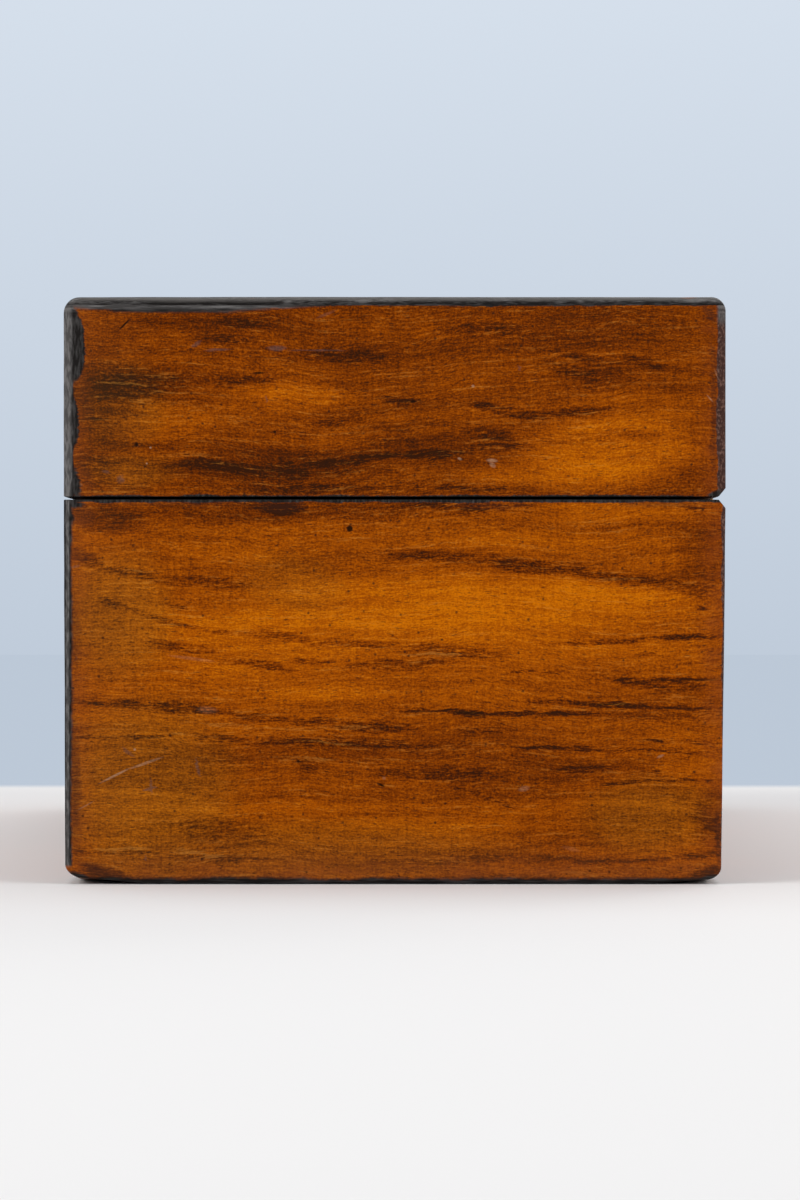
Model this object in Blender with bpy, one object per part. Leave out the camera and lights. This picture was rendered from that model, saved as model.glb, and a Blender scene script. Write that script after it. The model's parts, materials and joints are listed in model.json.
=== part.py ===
"""Antique glove box, built as its maker built it: a dovetailed case, veneer, ebonised strips, hinges and a lock.

Metres, +Z up. X runs along the box with the right-hand end at +X, the front is at -Y and the hinges are at
+Y. The origin is on the table under the middle of the box.
"""

import math

import bmesh
import bpy
from mathutils import Matrix, Vector

# The whole box
LENGTH = 0.290
DEPTH = 0.110
BASE_HEIGHT = 0.0638
LID_HEIGHT = 0.0332
PARTING_GAP = 0.0005

# Boards and veneer, and the play that glued or seated faces keep
WALL = 0.008
BOTTOM_BOARD = 0.006
TOP_BOARD = 0.006
VENEER = 0.001
PLAY = 0.0003
OVERRUN = 0.002

# Ebonised strips and the rounded arrises
CORNER_STRIP = 0.0015
TOP_STRIP = 0.0028
LONG_ROUND = 0.0026
END_ROUND = 0.0013
ROUND_STEPS = 4

# Dovetails
TAIL_PITCH = 0.015
TAIL_WIDTH_SHARE = 0.62
TAIL_SLOPE = 1 / 6

# Butt hinges
HINGE_LENGTH = 0.026
HINGE_FROM_END = 0.044
KNUCKLE_RADIUS = 0.0013
KNUCKLE_COUNT = 5
KNUCKLE_GAP = 0.0003
PIN_RADIUS = 0.00065
PIN_PLAY = 0.0001
LEAF = 0.0009
LEAF_MARGIN = 0.0008
BACK_CHAMFER_ANGLE = math.radians(50)
KNUCKLE_SIDES = 16

# Brass screws
SCREW_LENGTH = 0.0085
SCREW_RADIUS = 0.0008
SCREW_HEAD_RADIUS = 0.0014
SCREW_PLAY = 0.0002
SCREW_SLOT = 0.0004
SCREW_SIDES = 12
LEAF_SCREW_SHARE = 0.32

# Box lock and link plate
LOCK_LENGTH = 0.033
LOCK_HEIGHT = 0.020
LOCK_COVER = 0.0018
SELVEDGE_LENGTH = 0.042
SELVEDGE_WIDTH = 0.0066
SELVEDGE = 0.001
CASE_PLATE = 0.0008
CAP = 0.0008
LEDGE = 0.001
LEDGE_OVERLAP = 0.0015
LINK = 0.0016
LINK_SPACING = 0.014
LINK_DROP = 0.0066
LINK_BAR = 0.0008
LINK_SIDE = 0.0006
LINK_PLAY = 0.0005
EYE_HEIGHT = 0.003
BOLT_TRAVEL = 0.004
BOLT_BAR = 0.003
BOLT_ARM = 0.0025
TALON_WIDTH = 0.003
TALON_DEPTH = 0.0012
BOLT_SPRING = 0.0005

# Keyhole and its brass thread escutcheon
KEYHOLE_ABOVE_LOCK_FOOT = 0.0065
KEYHOLE_RADIUS = 0.0022
KEYHOLE_SLOT = 0.002
KEYHOLE_DROP = 0.0048
KEYHOLE_STEPS = 12
ESCUTCHEON_BORDER = 0.001
ESCUTCHEON_DEPTH = 0.0018
DRILL_PIN_RADIUS = 0.0009

# Silk-covered linings and pads
LINING = 0.0012
LINING_SETBACK = 0.0015
PAD_EDGE = 0.0026
FLOOR_CROWN = 0.0034
LID_CROWN = 0.0042
PAD_DRAW_IN = 0.0008
PAD_COLUMNS = 24
PAD_ROWS = 8
TUFT_COLUMN_STEP = 4
TUFT_ROW_STEP = 4
TUFT_DEPTH = 0.0024

# Places worked out from the sizes above
HALF_LENGTH = LENGTH / 2
HALF_DEPTH = DEPTH / 2
LID_RIM = BASE_HEIGHT + PARTING_GAP
HEIGHT = LID_RIM + LID_HEIGHT
SKIN = VENEER + PLAY
CASE_HALF_LENGTH = HALF_LENGTH - SKIN
CASE_HALF_DEPTH = HALF_DEPTH - SKIN
INNER_HALF_LENGTH = CASE_HALF_LENGTH - WALL
INNER_HALF_DEPTH = CASE_HALF_DEPTH - WALL
WALL_FOOT = BOTTOM_BOARD + PLAY
CEILING = HEIGHT - SKIN - TOP_BOARD
WALL_HEAD = CEILING - PLAY
PIN_Y = HALF_DEPTH - KNUCKLE_RADIUS
PIN_Z = BASE_HEIGHT + PARTING_GAP / 2
HINGE_X = HALF_LENGTH - HINGE_FROM_END
LEAF_INNER_Y = INNER_HALF_DEPTH + LEAF_MARGIN
LEAF_SCREW_Y = (LEAF_INNER_Y + PIN_Y - KNUCKLE_RADIUS) / 2
LOCK_BACK_Y = -INNER_HALF_DEPTH
LOCK_FRONT_Y = LOCK_BACK_Y - (WALL - LOCK_COVER)
LOCK_FOOT = BASE_HEIGHT - LOCK_HEIGHT
SELVEDGE_FRONT_Y = LOCK_BACK_Y - SELVEDGE_WIDTH
SELVEDGE_FOOT = BASE_HEIGHT - SELVEDGE
BAY_FRONT_Y = LOCK_FRONT_Y + CASE_PLATE
BAY_BACK_Y = LOCK_BACK_Y - CAP
BAY_MIDDLE_Y = (BAY_FRONT_Y + BAY_BACK_Y) / 2
LINK_WIDTH = BAY_BACK_Y - BAY_FRONT_Y - 2 * LINK_PLAY
LINK_FOOT = LID_RIM - LINK_DROP
EYE_FOOT = LINK_FOOT + LINK_BAR
BAR_TOP = LINK_FOOT - LINK_PLAY
BAR_FOOT = BAR_TOP - BOLT_BAR
HORN_FOOT = EYE_FOOT + LINK_PLAY
HORN_TOP = EYE_FOOT + EYE_HEIGHT - LINK_PLAY
KEYHOLE_Z = LOCK_FOOT + KEYHOLE_ABOVE_LOCK_FOOT
EAR_SCREW_X = (LOCK_LENGTH + SELVEDGE_LENGTH) / 4
SIDES = {"left": -1, "right": 1}
FACES = {"front": -1, "back": 1}


def clear_scene():
    for thing in list(bpy.data.objects):
        bpy.data.objects.remove(thing, do_unlink=True)


def finish_of(name, colour, roughness, metallic=0.0):
    """A plain Principled material in the finish's own colour."""
    material = bpy.data.materials.new(name)
    material.use_nodes = True
    shader = material.node_tree.nodes["Principled BSDF"]
    shader.inputs["Base Color"].default_value = (*colour, 1.0)
    shader.inputs["Roughness"].default_value = roughness
    shader.inputs["Metallic"].default_value = metallic
    material.diffuse_color = (*colour, 1.0)
    return material


def make_finishes():
    return {
        "walnut": finish_of("walnut_veneer", (0.44, 0.17, 0.035), 0.32),
        "ebony": finish_of("ebonised_strip", (0.02, 0.019, 0.018), 0.35),
        "carcass": finish_of("carcass_mahogany", (0.30, 0.13, 0.06), 0.55),
        "brass": finish_of("aged_brass", (0.62, 0.43, 0.17), 0.34, 1.0),
        "steel": finish_of("lock_steel", (0.33, 0.31, 0.29), 0.42, 1.0),
        "silk": finish_of("silk_lining", (0.36, 0.05, 0.07), 0.5),
    }


def point_on(axis, along, a, b):
    """A point given along an axis and by the two other coordinates, in X, Y, Z order."""
    return {"X": (along, a, b), "Y": (a, along, b), "Z": (a, b, along)}[axis]


def box_mesh(low, high):
    bm = bmesh.new()
    bmesh.ops.create_cube(bm, size=1)
    bmesh.ops.scale(bm, vec=Vector(high) - Vector(low), verts=bm.verts)
    bmesh.ops.translate(bm, vec=(Vector(high) + Vector(low)) / 2, verts=bm.verts)
    return bm


def prism_mesh(outline, axis, low, high):
    """An outline in the plane square to the axis, extruded from low to high."""
    bm = bmesh.new()
    face = bm.faces.new([bm.verts.new(point_on(axis, low, a, b)) for a, b in outline])
    raised = bmesh.ops.extrude_face_region(bm, geom=[face])["geom"]
    top = [item for item in raised if isinstance(item, bmesh.types.BMVert)]
    bmesh.ops.translate(bm, vec=point_on(axis, high - low, 0, 0), verts=top)
    bmesh.ops.recalc_face_normals(bm, faces=bm.faces)
    return bm


def rod_mesh(axis, centre, radius, low, high, sides):
    """A round rod along an axis, centred on a pair of coordinates."""
    turn = {
        "X": Matrix.Rotation(math.pi / 2, 4, "Y"),
        "Y": Matrix.Rotation(math.pi / 2, 4, "X"),
        "Z": Matrix.Identity(4),
    }[axis]
    place = Matrix.Translation(point_on(axis, (low + high) / 2, *centre))
    bm = bmesh.new()
    bmesh.ops.create_cone(
        bm,
        cap_ends=True,
        segments=sides,
        radius1=radius,
        radius2=radius,
        depth=high - low,
        matrix=place @ turn,
    )
    return bm


def turned_mesh(profile, sides):
    """A profile of (radius, height) points turned about Z."""
    bm = bmesh.new()
    points = [bm.verts.new((radius, 0, height)) for radius, height in profile]
    edges = [bm.edges.new(pair) for pair in zip(points, points[1:])]
    bmesh.ops.spin(
        bm,
        geom=points + edges,
        axis=(0, 0, 1),
        cent=(0, 0, 0),
        angle=2 * math.pi,
        steps=sides,
        use_merge=True,
    )
    bmesh.ops.remove_doubles(bm, verts=bm.verts, dist=PLAY / 100)
    bmesh.ops.recalc_face_normals(bm, faces=bm.faces)
    return bm


def add_object(bm, name, finish=None, parent=None, smooth=False):
    """Makes the mesh an object whose origin is at its own middle. Without a finish it is a hidden cutter."""
    corners = [vert.co for vert in bm.verts]
    low = Vector([min(co[k] for co in corners) for k in range(3)])
    high = Vector([max(co[k] for co in corners) for k in range(3)])
    middle = (low + high) / 2
    bmesh.ops.translate(bm, vec=-middle, verts=bm.verts)
    mesh = bpy.data.meshes.new(name)
    bm.to_mesh(mesh)
    bm.free()
    thing = bpy.data.objects.new(name, mesh)
    bpy.context.scene.collection.objects.link(thing)
    thing.location = middle
    if parent:
        thing.parent = parent
        thing.location = middle - parent.location
    if finish:
        mesh.materials.append(finish)
    else:
        thing.hide_render = True
        thing.display_type = "WIRE"
    if smooth:
        mesh.shade_smooth()
        mesh.set_sharp_from_angle(angle=math.radians(35))
    return thing


def shape(piece, operation, *tools):
    """Cuts a piece with each tool, joins them to it, or keeps only what lies inside them."""
    for tool in tools:
        modifier = piece.modifiers.new(f"{operation.lower()}_{tool.name}", "BOOLEAN")
        modifier.operation = operation
        modifier.solver = "EXACT"
        modifier.object = tool
    return piece


def make_empty(name, location):
    empty = bpy.data.objects.new(name, None)
    bpy.context.scene.collection.objects.link(empty)
    empty.location = location
    return empty


def rounded_loop(bm, x, inset):
    """A loop of edges across the box at x: its section with rounded corners, drawn in by the inset."""
    radius = LONG_ROUND - inset
    y_centre = HALF_DEPTH - LONG_ROUND
    points = []
    for corner, (y_side, z_centre) in enumerate(
        ((1, HEIGHT - LONG_ROUND), (-1, HEIGHT - LONG_ROUND), (-1, LONG_ROUND), (1, LONG_ROUND))
    ):
        for step in range(ROUND_STEPS + 1):
            angle = (corner + step / ROUND_STEPS) * math.pi / 2
            y = y_side * y_centre + radius * math.cos(angle)
            points.append(bm.verts.new((x, y, z_centre + radius * math.sin(angle))))
    return [bm.edges.new(pair) for pair in zip(points, points[1:] + points[:1])]


def make_envelope():
    """The box's outer form, with its long arrises and the arrises round both ends rounded over."""
    bm = bmesh.new()
    stations = []
    for step in range(ROUND_STEPS + 1):
        angle = math.pi / 2 * step / ROUND_STEPS
        drop = END_ROUND * (1 - math.sin(angle))
        stations.append((HALF_LENGTH - drop, END_ROUND * (1 - math.cos(angle))))
    stations.reverse()
    stations = stations + [(-x, inset) for x, inset in reversed(stations)]
    loops = [rounded_loop(bm, x, inset) for x, inset in stations]
    for pair in zip(loops, loops[1:]):
        bmesh.ops.bridge_loops(bm, edges=[*pair[0], *pair[1]])
    bmesh.ops.edgeloop_fill(bm, edges=loops[0])
    bmesh.ops.edgeloop_fill(bm, edges=loops[-1])
    bmesh.ops.recalc_face_normals(bm, faces=bm.faces)
    return add_object(bm, "cutter_outer_form")


def make_back_groove():
    """The V that both back arrises are chamfered to, so that the lid stops where the chamfers meet."""
    slope = math.tan(BACK_CHAMFER_ANGLE)
    apex = PIN_Y - PARTING_GAP / 2 / slope
    outer = HALF_DEPTH + OVERRUN
    reach = (outer - apex) * slope
    outline = [(apex, PIN_Z), (outer, PIN_Z - reach), (outer, PIN_Z + reach)]
    end = HALF_LENGTH + OVERRUN
    return add_object(prism_mesh(outline, "X", -end, end), "cutter_back_groove")


def corner_span(sign, half, width):
    """From the inner side of a strip at one corner to past the outer form, low value first."""
    return sorted((sign * (half - width), sign * (half + OVERRUN)))


def corner_strip_mesh(side, face, foot, head, width):
    """A square post at one vertical corner, which passes the outer form on both outer sides."""
    x_low, x_high = corner_span(side, HALF_LENGTH, width)
    y_low, y_high = corner_span(face, HALF_DEPTH, width)
    return box_mesh((x_low, y_low, foot), (x_high, y_high, head))


def make_corner_rebates():
    """One rebate for the strips of each vertical corner, through the base and the lid."""
    rebates = {}
    for side_name, side in SIDES.items():
        for face_name, face in FACES.items():
            mesh = corner_strip_mesh(
                side, face, LONG_ROUND - PLAY, HEIGHT - TOP_STRIP, CORNER_STRIP + PLAY
            )
            name = f"cutter_rebate_{face_name}_{side_name}"
            rebates[face_name, side_name] = add_object(mesh, name)
    return rebates


def long_strip_mesh(face, grow):
    """The square of the strip along the lid's front or back top arris, grown for its rebate."""
    y_low, y_high = corner_span(face, HALF_DEPTH, TOP_STRIP + grow)
    end = HALF_LENGTH + OVERRUN
    return box_mesh((-end, y_low, HEIGHT - TOP_STRIP - grow), (end, y_high, HEIGHT + OVERRUN))


def end_strip_mesh(side, grow):
    """The square of the strip along the lid's left or right top arris, between the long strips."""
    x_low, x_high = corner_span(side, HALF_LENGTH, CORNER_STRIP + grow)
    reach = HALF_DEPTH - TOP_STRIP - PLAY + grow
    foot = HEIGHT - CORNER_STRIP - grow
    return box_mesh((x_low, -reach, foot), (x_high, reach, HEIGHT + OVERRUN))


def make_top_rebates():
    rebates = {}
    for name, face in FACES.items():
        rebates[name] = add_object(long_strip_mesh(face, PLAY), f"cutter_top_rebate_{name}")
    for name, side in SIDES.items():
        rebates[name] = add_object(end_strip_mesh(side, PLAY), f"cutter_top_rebate_{name}")
    return rebates


def tailed_outline(foot, head, grow):
    """Outline in X and Z of a front or back wall with dovetails at both ends, grown to cut their sockets."""
    count = max(1, round((head - foot) / TAIL_PITCH))
    pitch = (head - foot) / count
    half_root = pitch * TAIL_WIDTH_SHARE / 2 - WALL * TAIL_SLOPE / 2
    shoulder = INNER_HALF_LENGTH - PLAY - grow
    tip = CASE_HALF_LENGTH + (OVERRUN if grow else 0)
    flare = (tip - shoulder) * TAIL_SLOPE
    right = []
    for number in range(count):
        middle = foot + pitch * (number + 0.5)
        root = half_root + grow
        right += [
            (shoulder, middle - root),
            (tip, middle - root - flare),
            (tip, middle + root + flare),
            (shoulder, middle + root),
        ]
    right = [(shoulder, foot - grow), *right, (shoulder, head + grow)]
    left = [(-x, z) for x, z in reversed(right)]
    return right + left


def make_walls(part, foot, head, parent, finish, rebates):
    """Four walls dovetailed at the corners. Tails are on the front and back, pins on the ends."""
    walls = {}
    sockets = {}
    for name, face in FACES.items():
        y_low, y_high = sorted((face * CASE_HALF_DEPTH, face * INNER_HALF_DEPTH))
        mesh = prism_mesh(tailed_outline(foot, head, 0), "Y", y_low, y_high)
        walls[name] = add_object(mesh, f"{part}_{name}_wall", finish, parent)
        y_low, y_high = sorted(
            (face * (CASE_HALF_DEPTH + OVERRUN), face * (INNER_HALF_DEPTH - PLAY))
        )
        mesh = prism_mesh(tailed_outline(foot, head, PLAY), "Y", y_low, y_high)
        sockets[name] = add_object(mesh, f"cutter_{part}_{name}_sockets")
    for name, side in SIDES.items():
        x_low, x_high = sorted((side * CASE_HALF_LENGTH, side * INNER_HALF_LENGTH))
        mesh = box_mesh(
            (x_low, -CASE_HALF_DEPTH, foot),
            (x_high, CASE_HALF_DEPTH, head),
        )
        walls[name] = add_object(mesh, f"{part}_{name}_wall", finish, parent)
        shape(walls[name], "DIFFERENCE", *sockets.values())
    for (face_name, side_name), rebate in rebates.items():
        shape(walls[face_name], "DIFFERENCE", rebate)
        shape(walls[side_name], "DIFFERENCE", rebate)
    return walls


def make_bottom_board(parent, finish, envelope, rebates):
    mesh = box_mesh(
        (-CASE_HALF_LENGTH, -CASE_HALF_DEPTH, -OVERRUN),
        (CASE_HALF_LENGTH, CASE_HALF_DEPTH, BOTTOM_BOARD),
    )
    board = add_object(mesh, "bottom_board", finish, parent)
    shape(board, "INTERSECT", envelope)
    return shape(board, "DIFFERENCE", *rebates.values())


def make_top_board(parent, finish, corner_rebates, top_rebates):
    mesh = box_mesh(
        (-CASE_HALF_LENGTH, -CASE_HALF_DEPTH, CEILING),
        (CASE_HALF_LENGTH, CASE_HALF_DEPTH, CEILING + TOP_BOARD),
    )
    board = add_object(mesh, "top_board", finish, parent)
    return shape(board, "DIFFERENCE", *corner_rebates.values(), *top_rebates.values())


def make_side_veneers(part, foot, long_head, end_head, parent, finish, envelope, rebates):
    """Veneers of the front, back and both ends. Those of the ends cover the others' edges."""
    veneers = {}
    reach = HALF_LENGTH - VENEER - PLAY
    for name, face in FACES.items():
        y_low, y_high = corner_span(face, HALF_DEPTH, VENEER)
        mesh = box_mesh((-reach, y_low, foot), (reach, y_high, long_head))
        veneers[name] = add_object(mesh, f"{part}_{name}_veneer", finish, parent)
    reach = HALF_DEPTH + OVERRUN
    for name, side in SIDES.items():
        x_low, x_high = corner_span(side, HALF_LENGTH, VENEER)
        mesh = box_mesh((x_low, -reach, foot), (x_high, reach, end_head))
        veneers[name] = add_object(mesh, f"{part}_{name}_veneer", finish, parent)
    for veneer in veneers.values():
        shape(veneer, "INTERSECT", envelope)
    for (face_name, side_name), rebate in rebates.items():
        shape(veneers[face_name], "DIFFERENCE", rebate)
        shape(veneers[side_name], "DIFFERENCE", rebate)
    return veneers


def make_corner_strips(part, foot, head, parent, finish, envelope):
    strips = {}
    for side_name, side in SIDES.items():
        for face_name, face in FACES.items():
            mesh = corner_strip_mesh(side, face, foot, head, CORNER_STRIP)
            name = f"{part}_{face_name}_{side_name}_strip"
            strips[face_name, side_name] = add_object(mesh, name, finish, parent)
            shape(strips[face_name, side_name], "INTERSECT", envelope)
    return strips


def make_top_strips(parent, finish, envelope):
    for name, face in FACES.items():
        strip = add_object(long_strip_mesh(face, 0), f"lid_top_{name}_strip", finish, parent)
        shape(strip, "INTERSECT", envelope)
    for name, side in SIDES.items():
        strip = add_object(end_strip_mesh(side, 0), f"lid_top_{name}_strip", finish, parent)
        shape(strip, "INTERSECT", envelope)


def make_top_veneer(parent, finish):
    x_reach = HALF_LENGTH - CORNER_STRIP - PLAY
    y_reach = HALF_DEPTH - TOP_STRIP - PLAY
    mesh = box_mesh((-x_reach, -y_reach, HEIGHT - VENEER), (x_reach, y_reach, HEIGHT))
    return add_object(mesh, "lid_top_veneer", finish, parent)


def screw_profile():
    """A countersunk wood screw standing on its tip, its head's top at height zero."""
    head_foot = -(SCREW_HEAD_RADIUS - SCREW_RADIUS)
    tip = -SCREW_LENGTH
    shoulder = tip + 2 * SCREW_RADIUS
    return [
        (0, 0),
        (SCREW_HEAD_RADIUS, 0),
        (SCREW_RADIUS, head_foot),
        (SCREW_RADIUS, shoulder),
        (0, tip),
    ]


def screw_hole_profile():
    """The countersunk hole that a screw keeps its play in, from above the head to past the tip."""
    head_foot = -(SCREW_HEAD_RADIUS - SCREW_RADIUS)
    hole = SCREW_RADIUS + SCREW_PLAY
    return [
        (0, OVERRUN),
        (SCREW_HEAD_RADIUS + SCREW_PLAY + OVERRUN, OVERRUN),
        (hole, head_foot),
        (hole, -SCREW_LENGTH - SCREW_PLAY),
        (0, -SCREW_LENGTH - SCREW_PLAY),
    ]


def screw_matrix(x, y, z, points_up):
    turn = Matrix.Rotation(math.pi, 4, "X") if points_up else Matrix.Identity(4)
    return Matrix.Translation((x, y, z)) @ turn


def make_screw(name, x, y, z, points_up, parent, finish):
    """One screw and the cutter of its hole. The slot in its head runs along the box."""
    matrix = screw_matrix(x, y, z, points_up)
    bm = turned_mesh(screw_profile(), SCREW_SIDES)
    bm.transform(matrix)
    screw = add_object(bm, name, finish, parent, smooth=True)
    reach = SCREW_HEAD_RADIUS + OVERRUN
    bm = box_mesh((-reach, -SCREW_SLOT / 2, -SCREW_SLOT), (reach, SCREW_SLOT / 2, OVERRUN))
    bm.transform(matrix)
    shape(screw, "DIFFERENCE", add_object(bm, f"cutter_{name}_slot"))
    bm = turned_mesh(screw_hole_profile(), SCREW_SIDES)
    bm.transform(matrix)
    return add_object(bm, f"cutter_{name}_hole")


def knuckle_spans(middle, own):
    """The X ranges of a leaf's knuckles: the base leaf owns the even ones, the lid leaf the odd ones."""
    step = HINGE_LENGTH / KNUCKLE_COUNT
    start = middle - HINGE_LENGTH / 2
    spans = []
    for number in range(own, KNUCKLE_COUNT, 2):
        low = start + number * step + (KNUCKLE_GAP / 2 if number else 0)
        high = start + (number + 1) * step
        high -= KNUCKLE_GAP / 2 if number < KNUCKLE_COUNT - 1 else 0
        spans.append((low, high))
    return spans


def make_leaf(name, middle, own, z_low, z_high, holes, parent, finish):
    """A leaf with its knuckles rolled round the pin, cut clear of the other leaf's knuckles."""
    low = (middle - HINGE_LENGTH / 2, LEAF_INNER_Y, z_low)
    high = (middle + HINGE_LENGTH / 2, PIN_Y, z_high)
    leaf = add_object(box_mesh(low, high), name, finish, parent, smooth=True)
    axis = (PIN_Y, PIN_Z)
    for number, (start, end) in enumerate(knuckle_spans(middle, 1 - own)):
        radius = KNUCKLE_RADIUS + PLAY
        first = start - KNUCKLE_GAP if start > low[0] + KNUCKLE_GAP else start - OVERRUN
        last = end + KNUCKLE_GAP if end < high[0] - KNUCKLE_GAP else end + OVERRUN
        mesh = rod_mesh("X", axis, radius, first, last, KNUCKLE_SIDES)
        shape(leaf, "DIFFERENCE", add_object(mesh, f"cutter_{name}_clearance_{number}"))
    for number, (start, end) in enumerate(knuckle_spans(middle, own)):
        mesh = rod_mesh("X", axis, KNUCKLE_RADIUS, start, end, KNUCKLE_SIDES)
        shape(leaf, "UNION", add_object(mesh, f"cutter_{name}_knuckle_{number}"))
    ends = (low[0] - OVERRUN, high[0] + OVERRUN)
    bore = rod_mesh("X", axis, PIN_RADIUS + PIN_PLAY, *ends, KNUCKLE_SIDES)
    shape(leaf, "DIFFERENCE", add_object(bore, f"cutter_{name}_bore"))
    return shape(leaf, "DIFFERENCE", *holes)


def make_hinge(name, side, base, lid, base_back, lid_back, back_veneers, finish):
    """One butt hinge: two leaves let into the rims, a pin, and two screws through each leaf."""
    middle = side * HINGE_X
    ends = (middle - HINGE_LENGTH / 2, middle + HINGE_LENGTH / 2)
    holes = {"base": [], "lid": []}
    for number, direction in enumerate((-1, 1), start=1):
        x = middle + direction * HINGE_LENGTH * LEAF_SCREW_SHARE
        screw = (x, LEAF_SCREW_Y)
        holes["base"].append(
            make_screw(f"{name}_base_screw_{number}", *screw, BASE_HEIGHT, False, base, finish)
        )
        holes["lid"].append(
            make_screw(f"{name}_lid_screw_{number}", *screw, LID_RIM, True, lid, finish)
        )
    make_leaf(
        f"{name}_base_leaf", middle, 0, BASE_HEIGHT - LEAF, BASE_HEIGHT, holes["base"], base, finish
    )
    make_leaf(f"{name}_lid_leaf", middle, 1, LID_RIM, LID_RIM + LEAF, holes["lid"], lid, finish)
    pin = rod_mesh("X", (PIN_Y, PIN_Z), PIN_RADIUS, *ends, KNUCKLE_SIDES)
    add_object(pin, f"{name}_pin", finish, base, smooth=True)
    seat = box_mesh(
        (ends[0] - PLAY, LEAF_INNER_Y - PLAY, BASE_HEIGHT - LEAF - PLAY),
        (ends[1] + PLAY, PIN_Y, LID_RIM + LEAF + PLAY),
    )
    seat = add_object(seat, f"cutter_{name}_seat")
    axis = (PIN_Y, PIN_Z)
    groove = rod_mesh(
        "X", axis, KNUCKLE_RADIUS + PLAY, ends[0] - PLAY, ends[1] + PLAY, KNUCKLE_SIDES
    )
    groove = add_object(groove, f"cutter_{name}_groove")
    shape(base_back, "DIFFERENCE", seat, groove, *holes["base"])
    shape(lid_back, "DIFFERENCE", seat, groove, *holes["lid"])
    for veneer in back_veneers:
        shape(veneer, "DIFFERENCE", groove)


def keyhole_outline(grow):
    """A round hole with a slot below it, in X and Z."""
    radius = KEYHOLE_RADIUS + grow
    half_slot = KEYHOLE_SLOT / 2 + grow
    start = -math.acos(half_slot / radius)
    sweep = math.pi - 2 * start
    outline = []
    for step in range(KEYHOLE_STEPS + 1):
        angle = start + sweep * step / KEYHOLE_STEPS
        outline.append((radius * math.cos(angle), KEYHOLE_Z + radius * math.sin(angle)))
    foot = KEYHOLE_Z - KEYHOLE_DROP - grow
    return [*outline, (-half_slot, foot), (half_slot, foot)]


def make_escutcheon(front_wall, front_veneer, parent, finish):
    """The brass thread that lines the keyhole, let in flush with the veneer."""
    back = -HALF_DEPTH + ESCUTCHEON_DEPTH
    mesh = prism_mesh(keyhole_outline(ESCUTCHEON_BORDER), "Y", -HALF_DEPTH, back)
    escutcheon = add_object(mesh, "keyhole_escutcheon", finish, parent)
    keyhole = prism_mesh(keyhole_outline(0), "Y", -HALF_DEPTH - OVERRUN, BAY_MIDDLE_Y)
    keyhole = add_object(keyhole, "cutter_keyhole")
    pocket = keyhole_outline(ESCUTCHEON_BORDER + PLAY)
    pocket = prism_mesh(pocket, "Y", -HALF_DEPTH - OVERRUN, back + PLAY)
    pocket = add_object(pocket, "cutter_escutcheon_pocket")
    shape(escutcheon, "DIFFERENCE", keyhole)
    shape(front_veneer, "DIFFERENCE", pocket)
    shape(front_wall, "DIFFERENCE", pocket, keyhole)
    return keyhole


def make_lock_case(keyhole, holes, parent, finish):
    """The lock's body: a tray open at the back, its selvedge with two link slots, and two ledges."""
    half = LOCK_LENGTH / 2
    inner = half - CASE_PLATE
    open_back = BAY_BACK_Y - PLAY
    mesh = box_mesh((-half, LOCK_FRONT_Y, LOCK_FOOT), (half, open_back, BASE_HEIGHT - SELVEDGE / 2))
    case = add_object(mesh, "lock_case", finish, parent)
    bay = box_mesh(
        (-inner, BAY_FRONT_Y, LOCK_FOOT + CASE_PLATE),
        (inner, LOCK_BACK_Y + OVERRUN, SELVEDGE_FOOT),
    )
    shape(case, "DIFFERENCE", add_object(bay, "cutter_lock_bay"))
    selvedge = box_mesh(
        (-SELVEDGE_LENGTH / 2, SELVEDGE_FRONT_Y, SELVEDGE_FOOT),
        (SELVEDGE_LENGTH / 2, LOCK_BACK_Y, BASE_HEIGHT),
    )
    shape(case, "UNION", add_object(selvedge, "cutter_lock_selvedge"))
    for name, side in SIDES.items():
        rest_end = BOLT_ENDS[name] + (BOLT_TRAVEL if side < 0 else 0)
        ledge_end = rest_end - side * LEDGE_OVERLAP
        x_low, x_high = sorted((side * (half - CASE_PLATE / 2), ledge_end))
        top = BAR_FOOT - PLAY
        ledge = box_mesh(
            (x_low, LOCK_FRONT_Y + CASE_PLATE / 2, top - LEDGE), (x_high, open_back, top)
        )
        shape(case, "UNION", add_object(ledge, f"cutter_lock_ledge_{name}"))
        shape(case, "DIFFERENCE", make_link_slot(name, side))
    return shape(case, "DIFFERENCE", keyhole, *holes)


def make_link_slot(name, side):
    """The slot in the selvedge that a link drops through when the lid closes."""
    middle = side * LINK_SPACING / 2
    reach = LINK / 2 + LINK_PLAY
    slot = box_mesh(
        (middle - reach, BAY_FRONT_Y, SELVEDGE_FOOT - PLAY),
        (middle + reach, BAY_BACK_Y, BASE_HEIGHT + OVERRUN),
    )
    return add_object(slot, f"cutter_link_slot_{name}")


def make_lock_cap(parent, finish):
    half = LOCK_LENGTH / 2
    mesh = box_mesh((-half, BAY_BACK_Y, LOCK_FOOT), (half, LOCK_BACK_Y, SELVEDGE_FOOT - PLAY))
    return add_object(mesh, "lock_cap", finish, parent)


def make_drill_pin(parent, finish):
    """The pin that the key's barrel fits over, standing out from the cap."""
    mesh = rod_mesh(
        "Y", (0, KEYHOLE_Z), DRILL_PIN_RADIUS, LOCK_FRONT_Y, BAY_BACK_Y - PLAY, SCREW_SIDES
    )
    return add_object(mesh, "lock_drill_pin", finish, parent, smooth=True)


def horn_root(side):
    """Where the horn for one link starts, so that the thrown bolt's arm stops short of the link."""
    return side * LINK_SPACING / 2 - LINK / 2 - LINK_PLAY - BOLT_TRAVEL


# The bolt's own ends at rest, which the case's ledges are measured from
BOLT_ENDS = {
    "left": horn_root(-1) - BOLT_ARM,
    "right": horn_root(1) + BOLT_TRAVEL + BOLT_ARM,
}


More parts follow.
